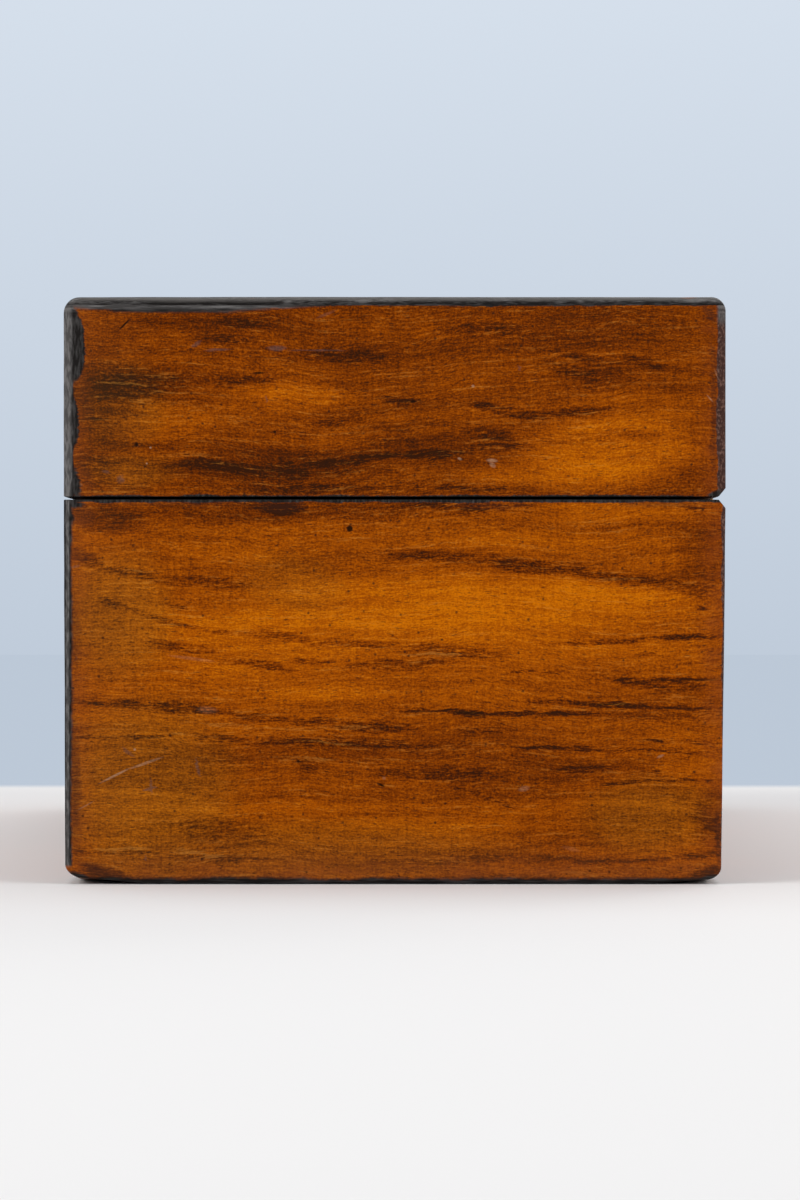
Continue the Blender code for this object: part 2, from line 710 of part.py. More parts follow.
def bolt_outline():
    """The bolt in X and Z: a bar with the key's talon below, and an arm with a leaf spring above."""
    left, right = BOLT_ENDS["left"], BOLT_ENDS["right"]
    arm_high = horn_root(1)
    arm_low = arm_high - BOLT_ARM
    spring_top = SELVEDGE_FOOT - PLAY
    spring_left = arm_low - BOLT_ARM
    talon = TALON_WIDTH / 2
    return [
        (left, BAR_FOOT),
        (-talon, BAR_FOOT),
        (-talon, BAR_FOOT + TALON_DEPTH),
        (talon, BAR_FOOT + TALON_DEPTH),
        (talon, BAR_FOOT),
        (right, BAR_FOOT),
        (right, BAR_TOP),
        (arm_high, BAR_TOP),
        (arm_high, HORN_TOP),
        (spring_left + BOLT_SPRING, spring_top),
        (spring_left, spring_top),
        (spring_left, spring_top - BOLT_SPRING),
        (arm_low, HORN_TOP - BOLT_SPRING),
        (arm_low, BAR_TOP),
        (left + BOLT_ARM, BAR_TOP),
        (left + BOLT_ARM, HORN_TOP),
        (left, HORN_TOP),
    ]


def make_bolt(parent, finish):
    """The sliding bolt. Its two horns pass through the eyes of the links when the key throws it."""
    thickness = (BAY_FRONT_Y + PLAY, BAY_BACK_Y - PLAY)
    bolt = add_object(prism_mesh(bolt_outline(), "Y", *thickness), "lock_bolt", finish, parent)
    half_horn = LINK_WIDTH / 2 - LINK_SIDE - LINK_PLAY
    for name, side in SIDES.items():
        root = horn_root(side)
        horn = box_mesh(
            (root - BOLT_ARM / 2, BAY_MIDDLE_Y - half_horn, HORN_FOOT),
            (root + BOLT_TRAVEL, BAY_MIDDLE_Y + half_horn, HORN_TOP - PLAY),
        )
        shape(bolt, "UNION", add_object(horn, f"cutter_bolt_horn_{name}"))
    return bolt


def make_link_plate(holes, parent, finish):
    """The plate in the lid's rim, with the two links that hang into the lock."""
    mesh = box_mesh(
        (-SELVEDGE_LENGTH / 2, SELVEDGE_FRONT_Y, LID_RIM),
        (SELVEDGE_LENGTH / 2, LOCK_BACK_Y, LID_RIM + SELVEDGE),
    )
    plate = add_object(mesh, "link_plate", finish, parent)
    half_width = LINK_WIDTH / 2
    for name, side in SIDES.items():
        middle = side * LINK_SPACING / 2
        link = box_mesh(
            (middle - LINK / 2, BAY_MIDDLE_Y - half_width, LINK_FOOT),
            (middle + LINK / 2, BAY_MIDDLE_Y + half_width, LID_RIM + SELVEDGE / 2),
        )
        eye = box_mesh(
            (middle - LINK, BAY_MIDDLE_Y - half_width + LINK_SIDE, EYE_FOOT),
            (middle + LINK, BAY_MIDDLE_Y + half_width - LINK_SIDE, EYE_FOOT + EYE_HEIGHT),
        )
        shape(plate, "UNION", add_object(link, f"cutter_link_{name}"))
        shape(plate, "DIFFERENCE", add_object(eye, f"cutter_link_eye_{name}"))
    return shape(plate, "DIFFERENCE", *holes)


def make_lock(base_front, lid_front, front_veneer, base, lid, finishes):
    """The lock in the base's front wall and the link plate above it, each in its own mortise."""
    brass, steel = finishes["brass"], finishes["steel"]
    screw_y = (SELVEDGE_FRONT_Y + LOCK_BACK_Y) / 2
    case_holes, plate_holes = [], []
    for name, side in SIDES.items():
        x = side * EAR_SCREW_X
        hole = make_screw(f"lock_{name}_screw", x, screw_y, BASE_HEIGHT, False, base, brass)
        case_holes.append(hole)
        hole = make_screw(f"link_plate_{name}_screw", x, screw_y, LID_RIM, True, lid, brass)
        plate_holes.append(hole)
    keyhole = make_escutcheon(base_front, front_veneer, base, brass)
    make_lock_case(keyhole, case_holes, base, brass)
    make_lock_cap(base, brass)
    make_drill_pin(base, steel)
    make_bolt(base, steel)
    make_link_plate(plate_holes, lid, brass)
    half = LOCK_LENGTH / 2 + PLAY
    pocket = box_mesh(
        (-half, LOCK_FRONT_Y - PLAY, LOCK_FOOT - PLAY),
        (half, LOCK_BACK_Y + OVERRUN, BASE_HEIGHT + OVERRUN),
    )
    pocket = add_object(pocket, "cutter_lock_pocket")
    half = SELVEDGE_LENGTH / 2 + PLAY
    rims = box_mesh(
        (-half, SELVEDGE_FRONT_Y - PLAY, SELVEDGE_FOOT - PLAY),
        (half, LOCK_BACK_Y + OVERRUN, LID_RIM + SELVEDGE + PLAY),
    )
    rims = add_object(rims, "cutter_selvedge_seats")
    shape(base_front, "DIFFERENCE", pocket, rims, *case_holes)
    shape(lid_front, "DIFFERENCE", rims, *plate_holes)


def make_lining(name, foot, head, parent, finish):
    """Silk-covered card folded round the four walls, its two ends meeting at the back left corner."""
    x_out, y_out = INNER_HALF_LENGTH - PLAY, INNER_HALF_DEPTH - PLAY
    x_in, y_in = x_out - LINING, y_out - LINING
    outline = [
        (-x_out + PLAY + LINING, y_out),
        (x_out, y_out),
        (x_out, -y_out),
        (-x_out, -y_out),
        (-x_out, y_out),
        (-x_in, y_out),
        (-x_in, -y_in),
        (x_in, -y_in),
        (x_in, y_in),
        (-x_out + PLAY + LINING, y_in),
    ]
    return add_object(prism_mesh(outline, "Z", foot, head), name, finish, parent)


def pad_height(u, v, crown):
    """How far the pad stands at shares u and v of its half sizes: full in the middle, low at the rim."""
    return PAD_EDGE + crown * (1 - abs(u) ** 4) * (1 - abs(v) ** 4)


def make_pad(name, seat, direction, crown, tufted, parent, finish):
    """A stuffed pad on a flat seat, crowned away from it, its sides drawn in between the corners."""
    x_reach = INNER_HALF_LENGTH - LINING - 2 * PLAY
    y_reach = INNER_HALF_DEPTH - LINING - 2 * PLAY
    bm = bmesh.new()
    bmesh.ops.create_grid(bm, x_segments=PAD_COLUMNS, y_segments=PAD_ROWS, size=1)
    for vert in bm.verts:
        u, v = vert.co.x, vert.co.y
        column, row = round((u + 1) / 2 * PAD_COLUMNS), round((v + 1) / 2 * PAD_ROWS)
        height = pad_height(u, v, crown)
        if tufted and is_tuft(column, row):
            height -= TUFT_DEPTH
        vert.co = (
            u * (x_reach - PAD_DRAW_IN * (1 - v * v)),
            v * (y_reach - PAD_DRAW_IN * (1 - u * u)),
            height,
        )
    rim = [edge for edge in bm.edges if edge.is_boundary]
    skirt = bmesh.ops.extrude_edge_only(bm, edges=rim)["geom"]
    for vert in (item for item in skirt if isinstance(item, bmesh.types.BMVert)):
        vert.co.z = 0
    bmesh.ops.holes_fill(bm, edges=[edge for edge in bm.edges if edge.is_boundary])
    bmesh.ops.scale(bm, vec=(1, 1, direction), verts=bm.verts)
    bmesh.ops.translate(bm, vec=(0, 0, seat), verts=bm.verts)
    bmesh.ops.recalc_face_normals(bm, faces=bm.faces)
    return add_object(bm, name, finish, parent, smooth=True)


def is_tuft(column, row):
    """Whether a grid point is sewn down: a diamond lattice that keeps clear of the pad's rim."""
    inside = 0 < column < PAD_COLUMNS and 0 < row < PAD_ROWS
    half_column, half_row = TUFT_COLUMN_STEP // 2, TUFT_ROW_STEP // 2
    on_lattice = column % half_column == 0 and row % half_row == 0
    return inside and on_lattice and (column // half_column + row // half_row) % 2 == 0


def main():
    clear_scene()
    finishes = make_finishes()
    walnut, ebony, carcass = finishes["walnut"], finishes["ebony"], finishes["carcass"]
    base = make_empty("base_frame", (0, 0, 0))
    lid = make_empty("lid_axis", (0, PIN_Y, PIN_Z))

    envelope = make_envelope()
    groove = make_back_groove()
    corner_rebates = make_corner_rebates()
    top_rebates = make_top_rebates()

    make_bottom_board(base, carcass, envelope, corner_rebates)
    make_top_board(lid, carcass, corner_rebates, top_rebates)
    base_walls = make_walls("base", WALL_FOOT, BASE_HEIGHT, base, carcass, corner_rebates)
    lid_walls = make_walls("lid", LID_RIM, WALL_HEAD, lid, carcass, corner_rebates)

    base_veneers = make_side_veneers(
        "base", -OVERRUN, BASE_HEIGHT, BASE_HEIGHT, base, walnut, envelope, corner_rebates
    )
    long_head = HEIGHT - TOP_STRIP - PLAY
    end_head = HEIGHT - CORNER_STRIP - PLAY
    lid_veneers = make_side_veneers(
        "lid", LID_RIM, long_head, end_head, lid, walnut, envelope, corner_rebates
    )
    for name in SIDES:
        shape(lid_veneers[name], "DIFFERENCE", top_rebates["front"], top_rebates["back"])
    make_top_veneer(lid, walnut)

    base_strips = make_corner_strips("base", LONG_ROUND, BASE_HEIGHT, base, ebony, envelope)
    lid_strips = make_corner_strips("lid", LID_RIM, long_head, lid, ebony, envelope)
    make_top_strips(lid, ebony, envelope)

    for walls, veneers, strips in (
        (base_walls, base_veneers, base_strips),
        (lid_walls, lid_veneers, lid_strips),
    ):
        for piece in (
            walls["back"],
            walls["left"],
            walls["right"],
            veneers["back"],
            veneers["left"],
            veneers["right"],
            strips["back", "left"],
            strips["back", "right"],
        ):
            shape(piece, "DIFFERENCE", groove)

    back_veneers = (base_veneers["back"], lid_veneers["back"])
    for name, side in SIDES.items():
        make_hinge(
            f"{name}_hinge",
            side,
            base,
            lid,
            base_walls["back"],
            lid_walls["back"],
            back_veneers,
            finishes["brass"],
        )
    make_lock(base_walls["front"], lid_walls["front"], base_veneers["front"], base, lid, finishes)

    silk = finishes["silk"]
    make_lining("base_lining", WALL_FOOT, BASE_HEIGHT - LINING_SETBACK, base, silk)
    make_lining("lid_lining", LID_RIM + LINING_SETBACK, WALL_HEAD, lid, silk)
    make_pad("floor_pad", WALL_FOOT, 1, FLOOR_CROWN, False, base, silk)
    make_pad("lid_pad", WALL_HEAD, -1, LID_CROWN, True, lid, silk)


main()
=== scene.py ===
# %% [markdown]
# # An antique glove box
#
# A glove box is a long, low box of thin boards, dovetailed at the corners, faced with walnut veneer
# and edged with strips of wood stained black. Its solids are already made and packed, and this
# lesson dresses them. The outside is remodelled with worn arrises and tight joints, and every
# surface gets a finish built from nodes.

# %% Load the solids and read the box's own sizes
import json
import math

import bmesh
import bpy
from mathutils import Matrix, Vector, noise


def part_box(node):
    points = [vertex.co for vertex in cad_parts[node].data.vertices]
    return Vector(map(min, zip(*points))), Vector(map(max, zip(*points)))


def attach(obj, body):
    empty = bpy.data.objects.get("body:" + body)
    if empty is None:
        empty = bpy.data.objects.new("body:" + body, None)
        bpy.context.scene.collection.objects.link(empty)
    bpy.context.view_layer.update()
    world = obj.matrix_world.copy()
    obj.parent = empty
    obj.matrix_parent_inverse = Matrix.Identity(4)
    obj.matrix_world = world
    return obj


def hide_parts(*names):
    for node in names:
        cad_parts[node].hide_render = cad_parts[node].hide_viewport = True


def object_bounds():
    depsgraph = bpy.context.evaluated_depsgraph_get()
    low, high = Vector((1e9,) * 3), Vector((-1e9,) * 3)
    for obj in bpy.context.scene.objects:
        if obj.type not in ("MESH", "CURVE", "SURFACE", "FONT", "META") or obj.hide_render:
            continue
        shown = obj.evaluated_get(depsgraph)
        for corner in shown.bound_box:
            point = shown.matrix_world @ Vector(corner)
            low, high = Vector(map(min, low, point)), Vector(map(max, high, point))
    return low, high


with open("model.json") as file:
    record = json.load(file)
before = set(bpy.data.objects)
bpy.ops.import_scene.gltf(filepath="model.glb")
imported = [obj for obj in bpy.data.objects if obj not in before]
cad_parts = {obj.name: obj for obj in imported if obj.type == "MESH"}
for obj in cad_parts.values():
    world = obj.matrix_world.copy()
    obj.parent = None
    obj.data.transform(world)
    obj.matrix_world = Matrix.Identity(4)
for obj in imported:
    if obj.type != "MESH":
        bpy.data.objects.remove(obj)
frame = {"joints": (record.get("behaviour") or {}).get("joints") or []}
cad_box = [[float(value) for value in corner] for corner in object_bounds()]

MM = 0.001
HALF_LENGTH, HALF_DEPTH, HEIGHT = cad_box[1]
BASE_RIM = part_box("base_right_veneer")[1].z
LID_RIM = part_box("lid_right_veneer")[0].z
CASE_HALF_LENGTH, CASE_HALF_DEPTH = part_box("top_board")[1].xy
BOARD_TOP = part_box("bottom_board")[1].z
POST = HALF_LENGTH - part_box("base_front_right_strip")[0].x
LONG_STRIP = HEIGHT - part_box("lid_top_front_strip")[0].z
END_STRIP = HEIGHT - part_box("lid_top_right_strip")[0].z
TOP_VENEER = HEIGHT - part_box("lid_top_veneer")[0].z
HINGE_AXIS = Vector(frame["joints"][0]["pos_m"])
print(f"box {2 * HALF_LENGTH / MM:.0f} x {2 * HALF_DEPTH / MM:.0f} x {HEIGHT / MM:.1f} mm")

# %% [markdown]
# ## Reading places from the photograph
#
# The photograph shows the right-hand end straight on. Its width in pixels against the depth of the
# box, less what its worn arrises have lost, gives one scale for everything that is seen there. So a
# mark is placed by the pixel it sits on and stored in metres.

# %% Turn a pixel of the photograph into a place on the end
IMAGE_WIDTH, IMAGE_HEIGHT = 800, 1200
END_WIDTH_PX = 661
END_MIDDLE_PX = 394.7
END_FOOT_PX = 884.5
ROUNDED_AWAY = 0.45 * MM
PIXEL = (2 * HALF_DEPTH - ROUNDED_AWAY) / END_WIDTH_PX


def on_end(across_px, down_px):
    """The place across the end and up it, in metres, of a pixel of the photograph."""
    return (across_px - END_MIDDLE_PX) * PIXEL, (END_FOOT_PX - down_px) * PIXEL


print(f"one pixel is {PIXEL / MM:.3f} mm")

# %% [markdown]
# ## Camera
#
# Only the near end shows, and neither the top nor a side, so the camera stood level, at half the
# height of the box and well back. The lens follows from the scale of the photograph: its pixels on
# the end against the distance.

# %% Camera
CAMERA_DISTANCE = 0.75
SENSOR_WIDTH = 36


def linked(name, data):
    """A new object in the scene."""
    thing = bpy.data.objects.new(name, data)
    bpy.context.scene.collection.objects.link(thing)
    return thing


camera = linked("camera", bpy.data.cameras.new("camera"))
camera.location = (HALF_LENGTH + CAMERA_DISTANCE, *on_end(IMAGE_WIDTH / 2, IMAGE_HEIGHT / 2))
camera.rotation_euler = (math.pi / 2, 0, math.pi / 2)
camera.data.sensor_width = SENSOR_WIDTH
camera.data.lens = SENSOR_WIDTH * CAMERA_DISTANCE / (PIXEL * IMAGE_HEIGHT)
camera.data.clip_start = 10 * MM
bpy.context.scene.camera = camera
print(f"lens {camera.data.lens:.0f} mm")

# %% [markdown]
# ## Values that add their own nodes
#
# A finish is a formula over places: noise, distances and masks that are added, multiplied and
# mixed. So that it can be read as one, a node's output is wrapped in a Value. A sum or a product of
# values adds the node for it, and a few methods do the same for ranges, noise, vectors and colours.

# %% Node helpers
NOISE_SPAN = (0.28, 0.72)


class Value:
    """A node's output, which can be reckoned with."""

    def __init__(self, socket):
        self.socket = socket
        self.tree = socket.id_data

    def maths(self, operation, *others):
        return made(self.tree, "Math", enumerate((self, *others)), operation=operation)

    def __add__(self, other):
        return self.maths("ADD", other)

    def __sub__(self, other):
        return self.maths("SUBTRACT", other)

    def __rsub__(self, other):
        return made(self.tree, "Math", {0: other, 1: self}, operation="SUBTRACT")

    def __mul__(self, other):
        return self.maths("MULTIPLY", other)

    def __gt__(self, other):
        return self.maths("GREATER_THAN", other)

    def __abs__(self):
        return self.maths("ABSOLUTE")

    def ranged(self, low, high, to_low=0.0, to_high=1.0, smooth=False):
        """Maps one range to another and stops at both ends, as a smooth step does by itself."""
        inputs = {0: self, 1: low, 2: high, 3: to_low, 4: to_high}
        kind = "SMOOTHSTEP" if smooth else "LINEAR"
        return made(self.tree, "MapRange", inputs, interpolation_type=kind, clamp=not smooth)

    def noise(self, stretch, detail=2.0):
        """Smooth noise between 0 and 1 at a place, with one frequency or with one for each axis."""
        scale = stretch if isinstance(stretch, tuple) else (stretch,) * 3
        mapped = made(self.tree, "Mapping", {"Vector": self, "Scale": scale})
        inputs = {"Vector": mapped, "Scale": 1.0, "Detail": detail}
        return made(self.tree, "TexNoise", inputs).ranged(*NOISE_SPAN)

    def mixed(self, first, second):
        """Mixes two colours by this factor."""
        return made(self.tree, "Mix", {0: self, 6: first, 7: second}, 2, data_type="RGBA")

    def between(self, first, second):
        """Mixes two numbers by this factor."""
        return made(self.tree, "Mix", {0: self, 2: first, 3: second}, data_type="FLOAT")

    def moved(self, by):
        return made(self.tree, "VectorMath", {0: self, 1: by}, operation="ADD")

    def scaled(self, factor):
        return made(self.tree, "VectorMath", {0: self, "Scale": factor}, operation="SCALE")

    def parts(self):
        return outputs(put(self.tree, "SeparateXYZ", {0: self}))

    def through(self, group, **inputs):
        """The outputs of a node group at this place."""
        return outputs(put(self.tree, "Group", {"Place": self, **inputs}, node_tree=group))


def fill(node, inputs):
    """Gives a node's inputs plain values, colours or values."""
    for label, value in dict(inputs).items():
        socket = node.inputs[label]
        if isinstance(value, Value):
            node.id_data.links.new(value.socket, socket)
        else:
            socket.default_value = (*value, 1) if socket.type == "RGBA" else value
    return node


def put(tree, kind, inputs=(), **settings):
    """Adds a node, sets its options and fills its inputs."""
    node = tree.nodes.new("ShaderNode" + kind)
    for option, setting in settings.items():
        setattr(node, option, setting)
    return fill(node, inputs)


def made(tree, kind, inputs=(), output=0, **settings):
    return Value(put(tree, kind, inputs, **settings).outputs[output])


def outputs(node):
    return {socket.name: Value(socket) for socket in node.outputs}


def vector(tree, *parts):
    return made(tree, "CombineXYZ", enumerate(parts))


def highest(first, *others):
    for other in others:
        first = first.maths("MAXIMUM", other)
    return first


def new_material(name):
    material = bpy.data.materials.new(name)
    material.use_nodes = True
    return material, material.node_tree


# %% [markdown]
# ## Floor, backdrop and light
#
# The box stands on a plain pale floor that turns into the backdrop's blue-grey behind it. Two large
# soft lamps stand to the left and the right of the camera, far enough aside that the flat end
# doesn't mirror them, a third hangs above and a fourth stands behind. For reflections the sky is
# darker on the camera's side: polished wood looks deep in colour only when there is little
# brightness to mirror.

# %% Floor
FLOOR_SIZE = 6.0
FLOOR_PALE = (0.80, 0.77, 0.745)
FLOOR_FAR = (0.505, 0.580, 0.680)
NOTHING = (0.0, 0.0, 0.0)
FAR_START, FAR_END = -0.235, -0.265
FADE_START, FADE_END = 0.50, 1.00


def square(size):
    bm = bmesh.new()
    bmesh.ops.create_grid(bm, x_segments=1, y_segments=1, size=size / 2)
    return bm


def new_object(bm, name):
    """The mesh as an object in the scene. The mesh given is used up."""
    mesh = bpy.data.meshes.new(name)
    bm.to_mesh(mesh)
    bm.free()
    return linked(name, mesh)


floor = new_object(square(FLOOR_SIZE), "floor")
material, tree = new_material("pale_floor")
floor.data.materials.append(material)
place = made(tree, "TexCoord", output="Object")
past_edge = place.parts()["X"].ranged(FAR_START, FAR_END, smooth=True)
away = made(tree, "VectorMath", {0: place}, "Value", operation="LENGTH")
far = highest(past_edge, away.ranged(FADE_START, FADE_END, smooth=True))
shine = {"Roughness": 0.5, "Specular IOR Level": 0.0, "Emission Strength": 1.0}
near_colour, far_colour = far.mixed(FLOOR_PALE, NOTHING), far.mixed(NOTHING, FLOOR_FAR)
paint = {"Base Color": near_colour, "Emission Color": far_colour}
fill(tree.nodes["Principled BSDF"], shine | paint)

# %% Sky
SKY_LOW, SKY_HIGH = (0.509, 0.584, 0.686), (0.665, 0.738, 0.832)
HORIZON, SKY_TOP = -0.03, 0.13
TOWARDS_CAMERA = (-0.25, 0.7)
MIRRORED = (0.95, 0.10)
SKY_FILL = 0.55

world = bpy.data.worlds.new("studio")
world.use_nodes = True
bpy.context.scene.world = world
rays = outputs(put(world.node_tree, "LightPath"))
seen = rays["Is Camera Ray"]
direction = made(world.node_tree, "TexCoord", output="Generated").parts()
mirrored = direction["X"].ranged(*TOWARDS_CAMERA, *MIRRORED, smooth=True)
direct = highest(seen, rays["Is Glossy Ray"], rays["Is Transmission Ray"])
strength = direct.between(SKY_FILL, seen.between(mirrored, 1.0))
sky = direction["Z"].ranged(HORIZON, SKY_TOP).mixed(SKY_LOW, SKY_HIGH)
fill(world.node_tree.nodes["Background"], {"Color": sky, "Strength": strength})

# %% Lamps
WARM, COOL = (1.0, 0.99, 0.97), (0.97, 0.98, 1.0)
LAMPS = {
    "lamp_left": ((0.75, -1.1, 0.85), 0.9, 12, WARM),
    "lamp_right": ((0.8, 1.15, 0.65), 0.9, 9, WARM),
    "lamp_above": ((-0.3, 0.0, 1.5), 1.2, 8, COOL),
    "lamp_behind": ((-1.1, 0.5, 0.7), 0.9, 5, WARM),
}
for name, (stand, size, power, colour) in LAMPS.items():
    lamp = linked(name, bpy.data.lights.new(name, "AREA"))
    lamp.location = stand
    aim = Vector((0, 0, HEIGHT / 2)) - Vector(stand)
    lamp.rotation_euler = aim.to_track_quat("-Z", "Y").to_euler()
    lamp.data.size, lamp.data.energy, lamp.data.color = size, power, colour
bpy.context.scene.view_settings.view_transform = "Standard"
print(len(LAMPS), "lamps")

# %% [markdown]
# ## The outer form
#
# The whole outside of the box is one block with rounded arrises. It is made once, and every veneer
# leaf and every strip is then cut out of it with flat cuts, so that neighbours meet without a gap,
# as glued and scraped wood does. The block starts as its section, with each of its four corners
# rounded by its own radius. The section is pulled out along the box, and at each end it is drawn in
# step by step, which rounds the arrises round the ends.

# %% Build the rounded block
CORNER_ROUNDS = {(-1, 1): 2.7 * MM, (1, 1): 2.4 * MM, (-1, -1): 2.7 * MM, (1, -1): 2.4 * MM}
END_ROUND_IN = 1.2 * MM
END_ROUND_ALONG = 1.1 * MM
ROUND_STEPS = 8


def bevel(bm, geometry, width, segments, affect="EDGES"):
    rules = {"offset_type": "OFFSET", "profile": 0.5, "clamp_overlap": True, "material": -1}
    bmesh.ops.bevel(bm, geom=geometry, offset=width, segments=segments, affect=affect, **rules)


def of_type(items, kind):
    return [item for item in items if isinstance(item, kind)]


def corner_of(bm, across, up):
    """The section's vertex nearest to one of the box's four long arrises."""
    return max(bm.verts, key=lambda vert: vert.co.y * across + (vert.co.z - HEIGHT / 2) * up)


def round_end(bm, side):
    """Draws the end's face in and out along a quarter of an ellipse."""
    face = max(bm.faces, key=lambda item: item.calc_center_median().x * side)
    angles = [math.pi / 2 * step / ROUND_STEPS for step in range(ROUND_STEPS + 1)]
    for before, after in zip(angles, angles[1:]):
        inward = END_ROUND_IN * (math.cos(before) - math.cos(after))
        out = END_ROUND_ALONG * (math.sin(after) - math.sin(before))
        rules = {"use_boundary": True, "use_even_offset": True, "thickness": inward, "depth": out}
        bmesh.ops.inset_region(bm, faces=[face], **rules)


def rounded_block():
    bm = square(1)
    stand = Matrix.Translation((0, 0, HEIGHT / 2)) @ Matrix.Rotation(math.pi / 2, 4, "Y")
    bmesh.ops.transform(bm, matrix=stand, verts=bm.verts)
    for vert in bm.verts:
        vert.co.z = HEIGHT if vert.co.z > HEIGHT / 2 else 0
        vert.co.y = math.copysign(HALF_DEPTH, vert.co.y)
    for (across, up), radius in CORNER_ROUNDS.items():
        bevel(bm, [corner_of(bm, across, up)], radius, ROUND_STEPS, "VERTICES")
    flat_length = 2 * (HALF_LENGTH - END_ROUND_ALONG)
    section = bm.faces[:]
    bmesh.ops.translate(bm, vec=(-flat_length / 2, 0, 0), verts=bm.verts)
    pulled = bmesh.ops.extrude_face_region(bm, geom=section)["geom"]
    bmesh.ops.translate(bm, vec=(flat_length, 0, 0), verts=of_type(pulled, bmesh.types.BMVert))
    bmesh.ops.recalc_face_normals(bm, faces=bm.faces)
    for side in (-1, 1):
        round_end(bm, side)
    return bm


block = rounded_block()
print("block", len(block.faces), "faces, volume", round(block.calc_volume() * 1e6), "ml")

# %% [markdown]
# ## Wear
#
# A hundred and fifty years of handling leave no surface flat and no arris straight. The block is
# cut into a fine mesh and its points are moved inwards by smooth noise: hardly at all on the flats,
# where it only makes the polish ripple, and more on the arrises. The base has also shrunk towards
# its foot, most of all at the back, so its sides lean in.

# %% Mesh the block and wear it
AXES = {"x": Vector((1, 0, 0)), "y": Vector((0, 1, 0)), "z": Vector((0, 0, 1))}
CELL_ALONG = 5 * MM
CELL_ACROSS = 2.5 * MM
CELL_WELD = 0.1 * MM
RIPPLE, RIPPLE_LENGTH = 0.05 * MM, 28 * MM
ARRIS_WEAR, ARRIS_WEAR_LENGTH = 0.14 * MM, 7 * MM
ARRIS_REACH = 2.5 * MM
WEAR_SEED = Vector((3, 5, 7))
FOOT_LEAN = {1: 0.75 * MM, -1: 0.28 * MM}
CORNER_LOSS = {1: 0.9 * MM, -1: 1.4 * MM}
CORNER_REACH = Vector((12, 14, 5)) * MM


def whole(bm):
    return bm.verts[:] + bm.edges[:] + bm.faces[:]


def grid_cut(bm, axis, low, high, cell):
    """Cuts the mesh with evenly spaced planes square to an axis."""
    normal, count = AXES[axis], round((high - low) / cell)
    for number in range(1, count):
        place = normal * (low + (high - low) * number / count)
        bmesh.ops.bisect_plane(bm, geom=whole(bm), plane_co=place, plane_no=normal, dist=CELL_WELD)


def back_or_front(place):
    return 1 if place.y > 0 else -1


def face_gaps(x, y, z):
    """A point's distances from the nearer end, the nearer side, the top and the foot."""
    return HALF_LENGTH - abs(x), HALF_DEPTH - abs(y), HEIGHT - z, z


def wear_at(place):
    """How far a point of the surface has worn in."""
    gaps = sorted(face_gaps(*place))
    near_arris = max(0.0, 1 - gaps[1] / ARRIS_REACH)
    ripple = 0.5 + 0.5 * noise.noise(place / RIPPLE_LENGTH)
    rub = 0.5 + 0.5 * noise.noise(place / ARRIS_WEAR_LENGTH + WEAR_SEED)
    return RIPPLE * ripple + ARRIS_WEAR * near_arris * rub


def lean_in(place):
    """The base narrows towards its foot."""
    share = max(0.0, 1 - place.z / BASE_RIM)
    place.y *= 1 - FOOT_LEAN[back_or_front(place)] / HALF_DEPTH * share


def corner_loss(place):
    """How far the foot has worn up at the corners of the right-hand end."""
    gaps = (HALF_LENGTH - place.x, HALF_DEPTH - abs(place.y), place.z)
    shares = [max(0.0, 1 - gap / reach) for gap, reach in zip(gaps, CORNER_REACH)]
    return CORNER_LOSS[back_or_front(place)] * math.prod(shares)


grid_cut(block, "x", -HALF_LENGTH, HALF_LENGTH, CELL_ALONG)
grid_cut(block, "y", -HALF_DEPTH, HALF_DEPTH, CELL_ACROSS)
grid_cut(block, "z", 0, HEIGHT, CELL_ACROSS)
block.normal_update()
for vert in block.verts:
    vert.co -= vert.normal * wear_at(vert.co)
    vert.co.z += corner_loss(vert.co)
    lean_in(vert.co)
print("worn block", len(block.faces), "faces")

# %% [markdown]
# ## Cutting the pieces out of the block
#
# A piece is what is left of the block after a few flat cuts. Each cut slices the mesh, clears what
# lies outside and closes the hole. The back edge of base and lid is chamfered where they meet, so
# that the lid comes to rest on the chamfer when it is thrown open. That is one more slanting cut,
# which both halves get.

# %% Cutting helpers
BACK_CHAMFER = math.radians(50)
RIM_EASE, RIM_NEAR = 0.14 * MM, 0.01 * MM
SHARP = math.radians(40)
WELD = 0.001 * MM


def slice_off(bm, point, outward):
    """Cuts away what lies beyond a plane and closes the cut."""
    cut = {"plane_co": point, "plane_no": outward, "clear_outer": True, "dist": WELD}
    bmesh.ops.bisect_plane(bm, geom=whole(bm), **cut)
    bmesh.ops.holes_fill(bm, edges=[edge for edge in bm.edges if edge.is_boundary], sides=0)


def chamfer_off(bm, half):
    """Cuts the slanting plane at the back of the base or of the lid."""
    rim, up = (BASE_RIM, 1) if half == "base" else (LID_RIM, -1)
    start = HINGE_AXIS.y - abs(HINGE_AXIS.z - rim) / math.tan(BACK_CHAMFER)
    outward = Vector((0, math.sin(BACK_CHAMFER), up * math.cos(BACK_CHAMFER)))
    slice_off(bm, Vector((0, start, HINGE_AXIS.z)), outward)


def ease(bm, width, chosen=lambda edge: True):
    """Takes the sharpness off the chosen sharp edges, so that they catch the light."""
    sharp = [edge for edge in bm.edges if edge.calc_face_angle(0) > SHARP and chosen(edge)]
    if sharp:
        bevel(bm, sharp, width, 2)


def lies_at(axis, value, near):
    """A test for edges that lie in a plane square to an axis."""
    return lambda edge: all(abs(vert.co.dot(AXES[axis]) - value) < near for vert in edge.verts)


def add_piece(bm, name, material, body, node, smooth_angle=35):
    """Makes the mesh a smooth piece that rides on its body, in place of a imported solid."""
    piece = new_object(bm, name)
    piece.data.materials.append(material)
    piece.data.shade_smooth()
    piece.data.set_sharp_from_angle(angle=math.radians(smooth_angle))
    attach(piece, body)
    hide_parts(node)
    return piece


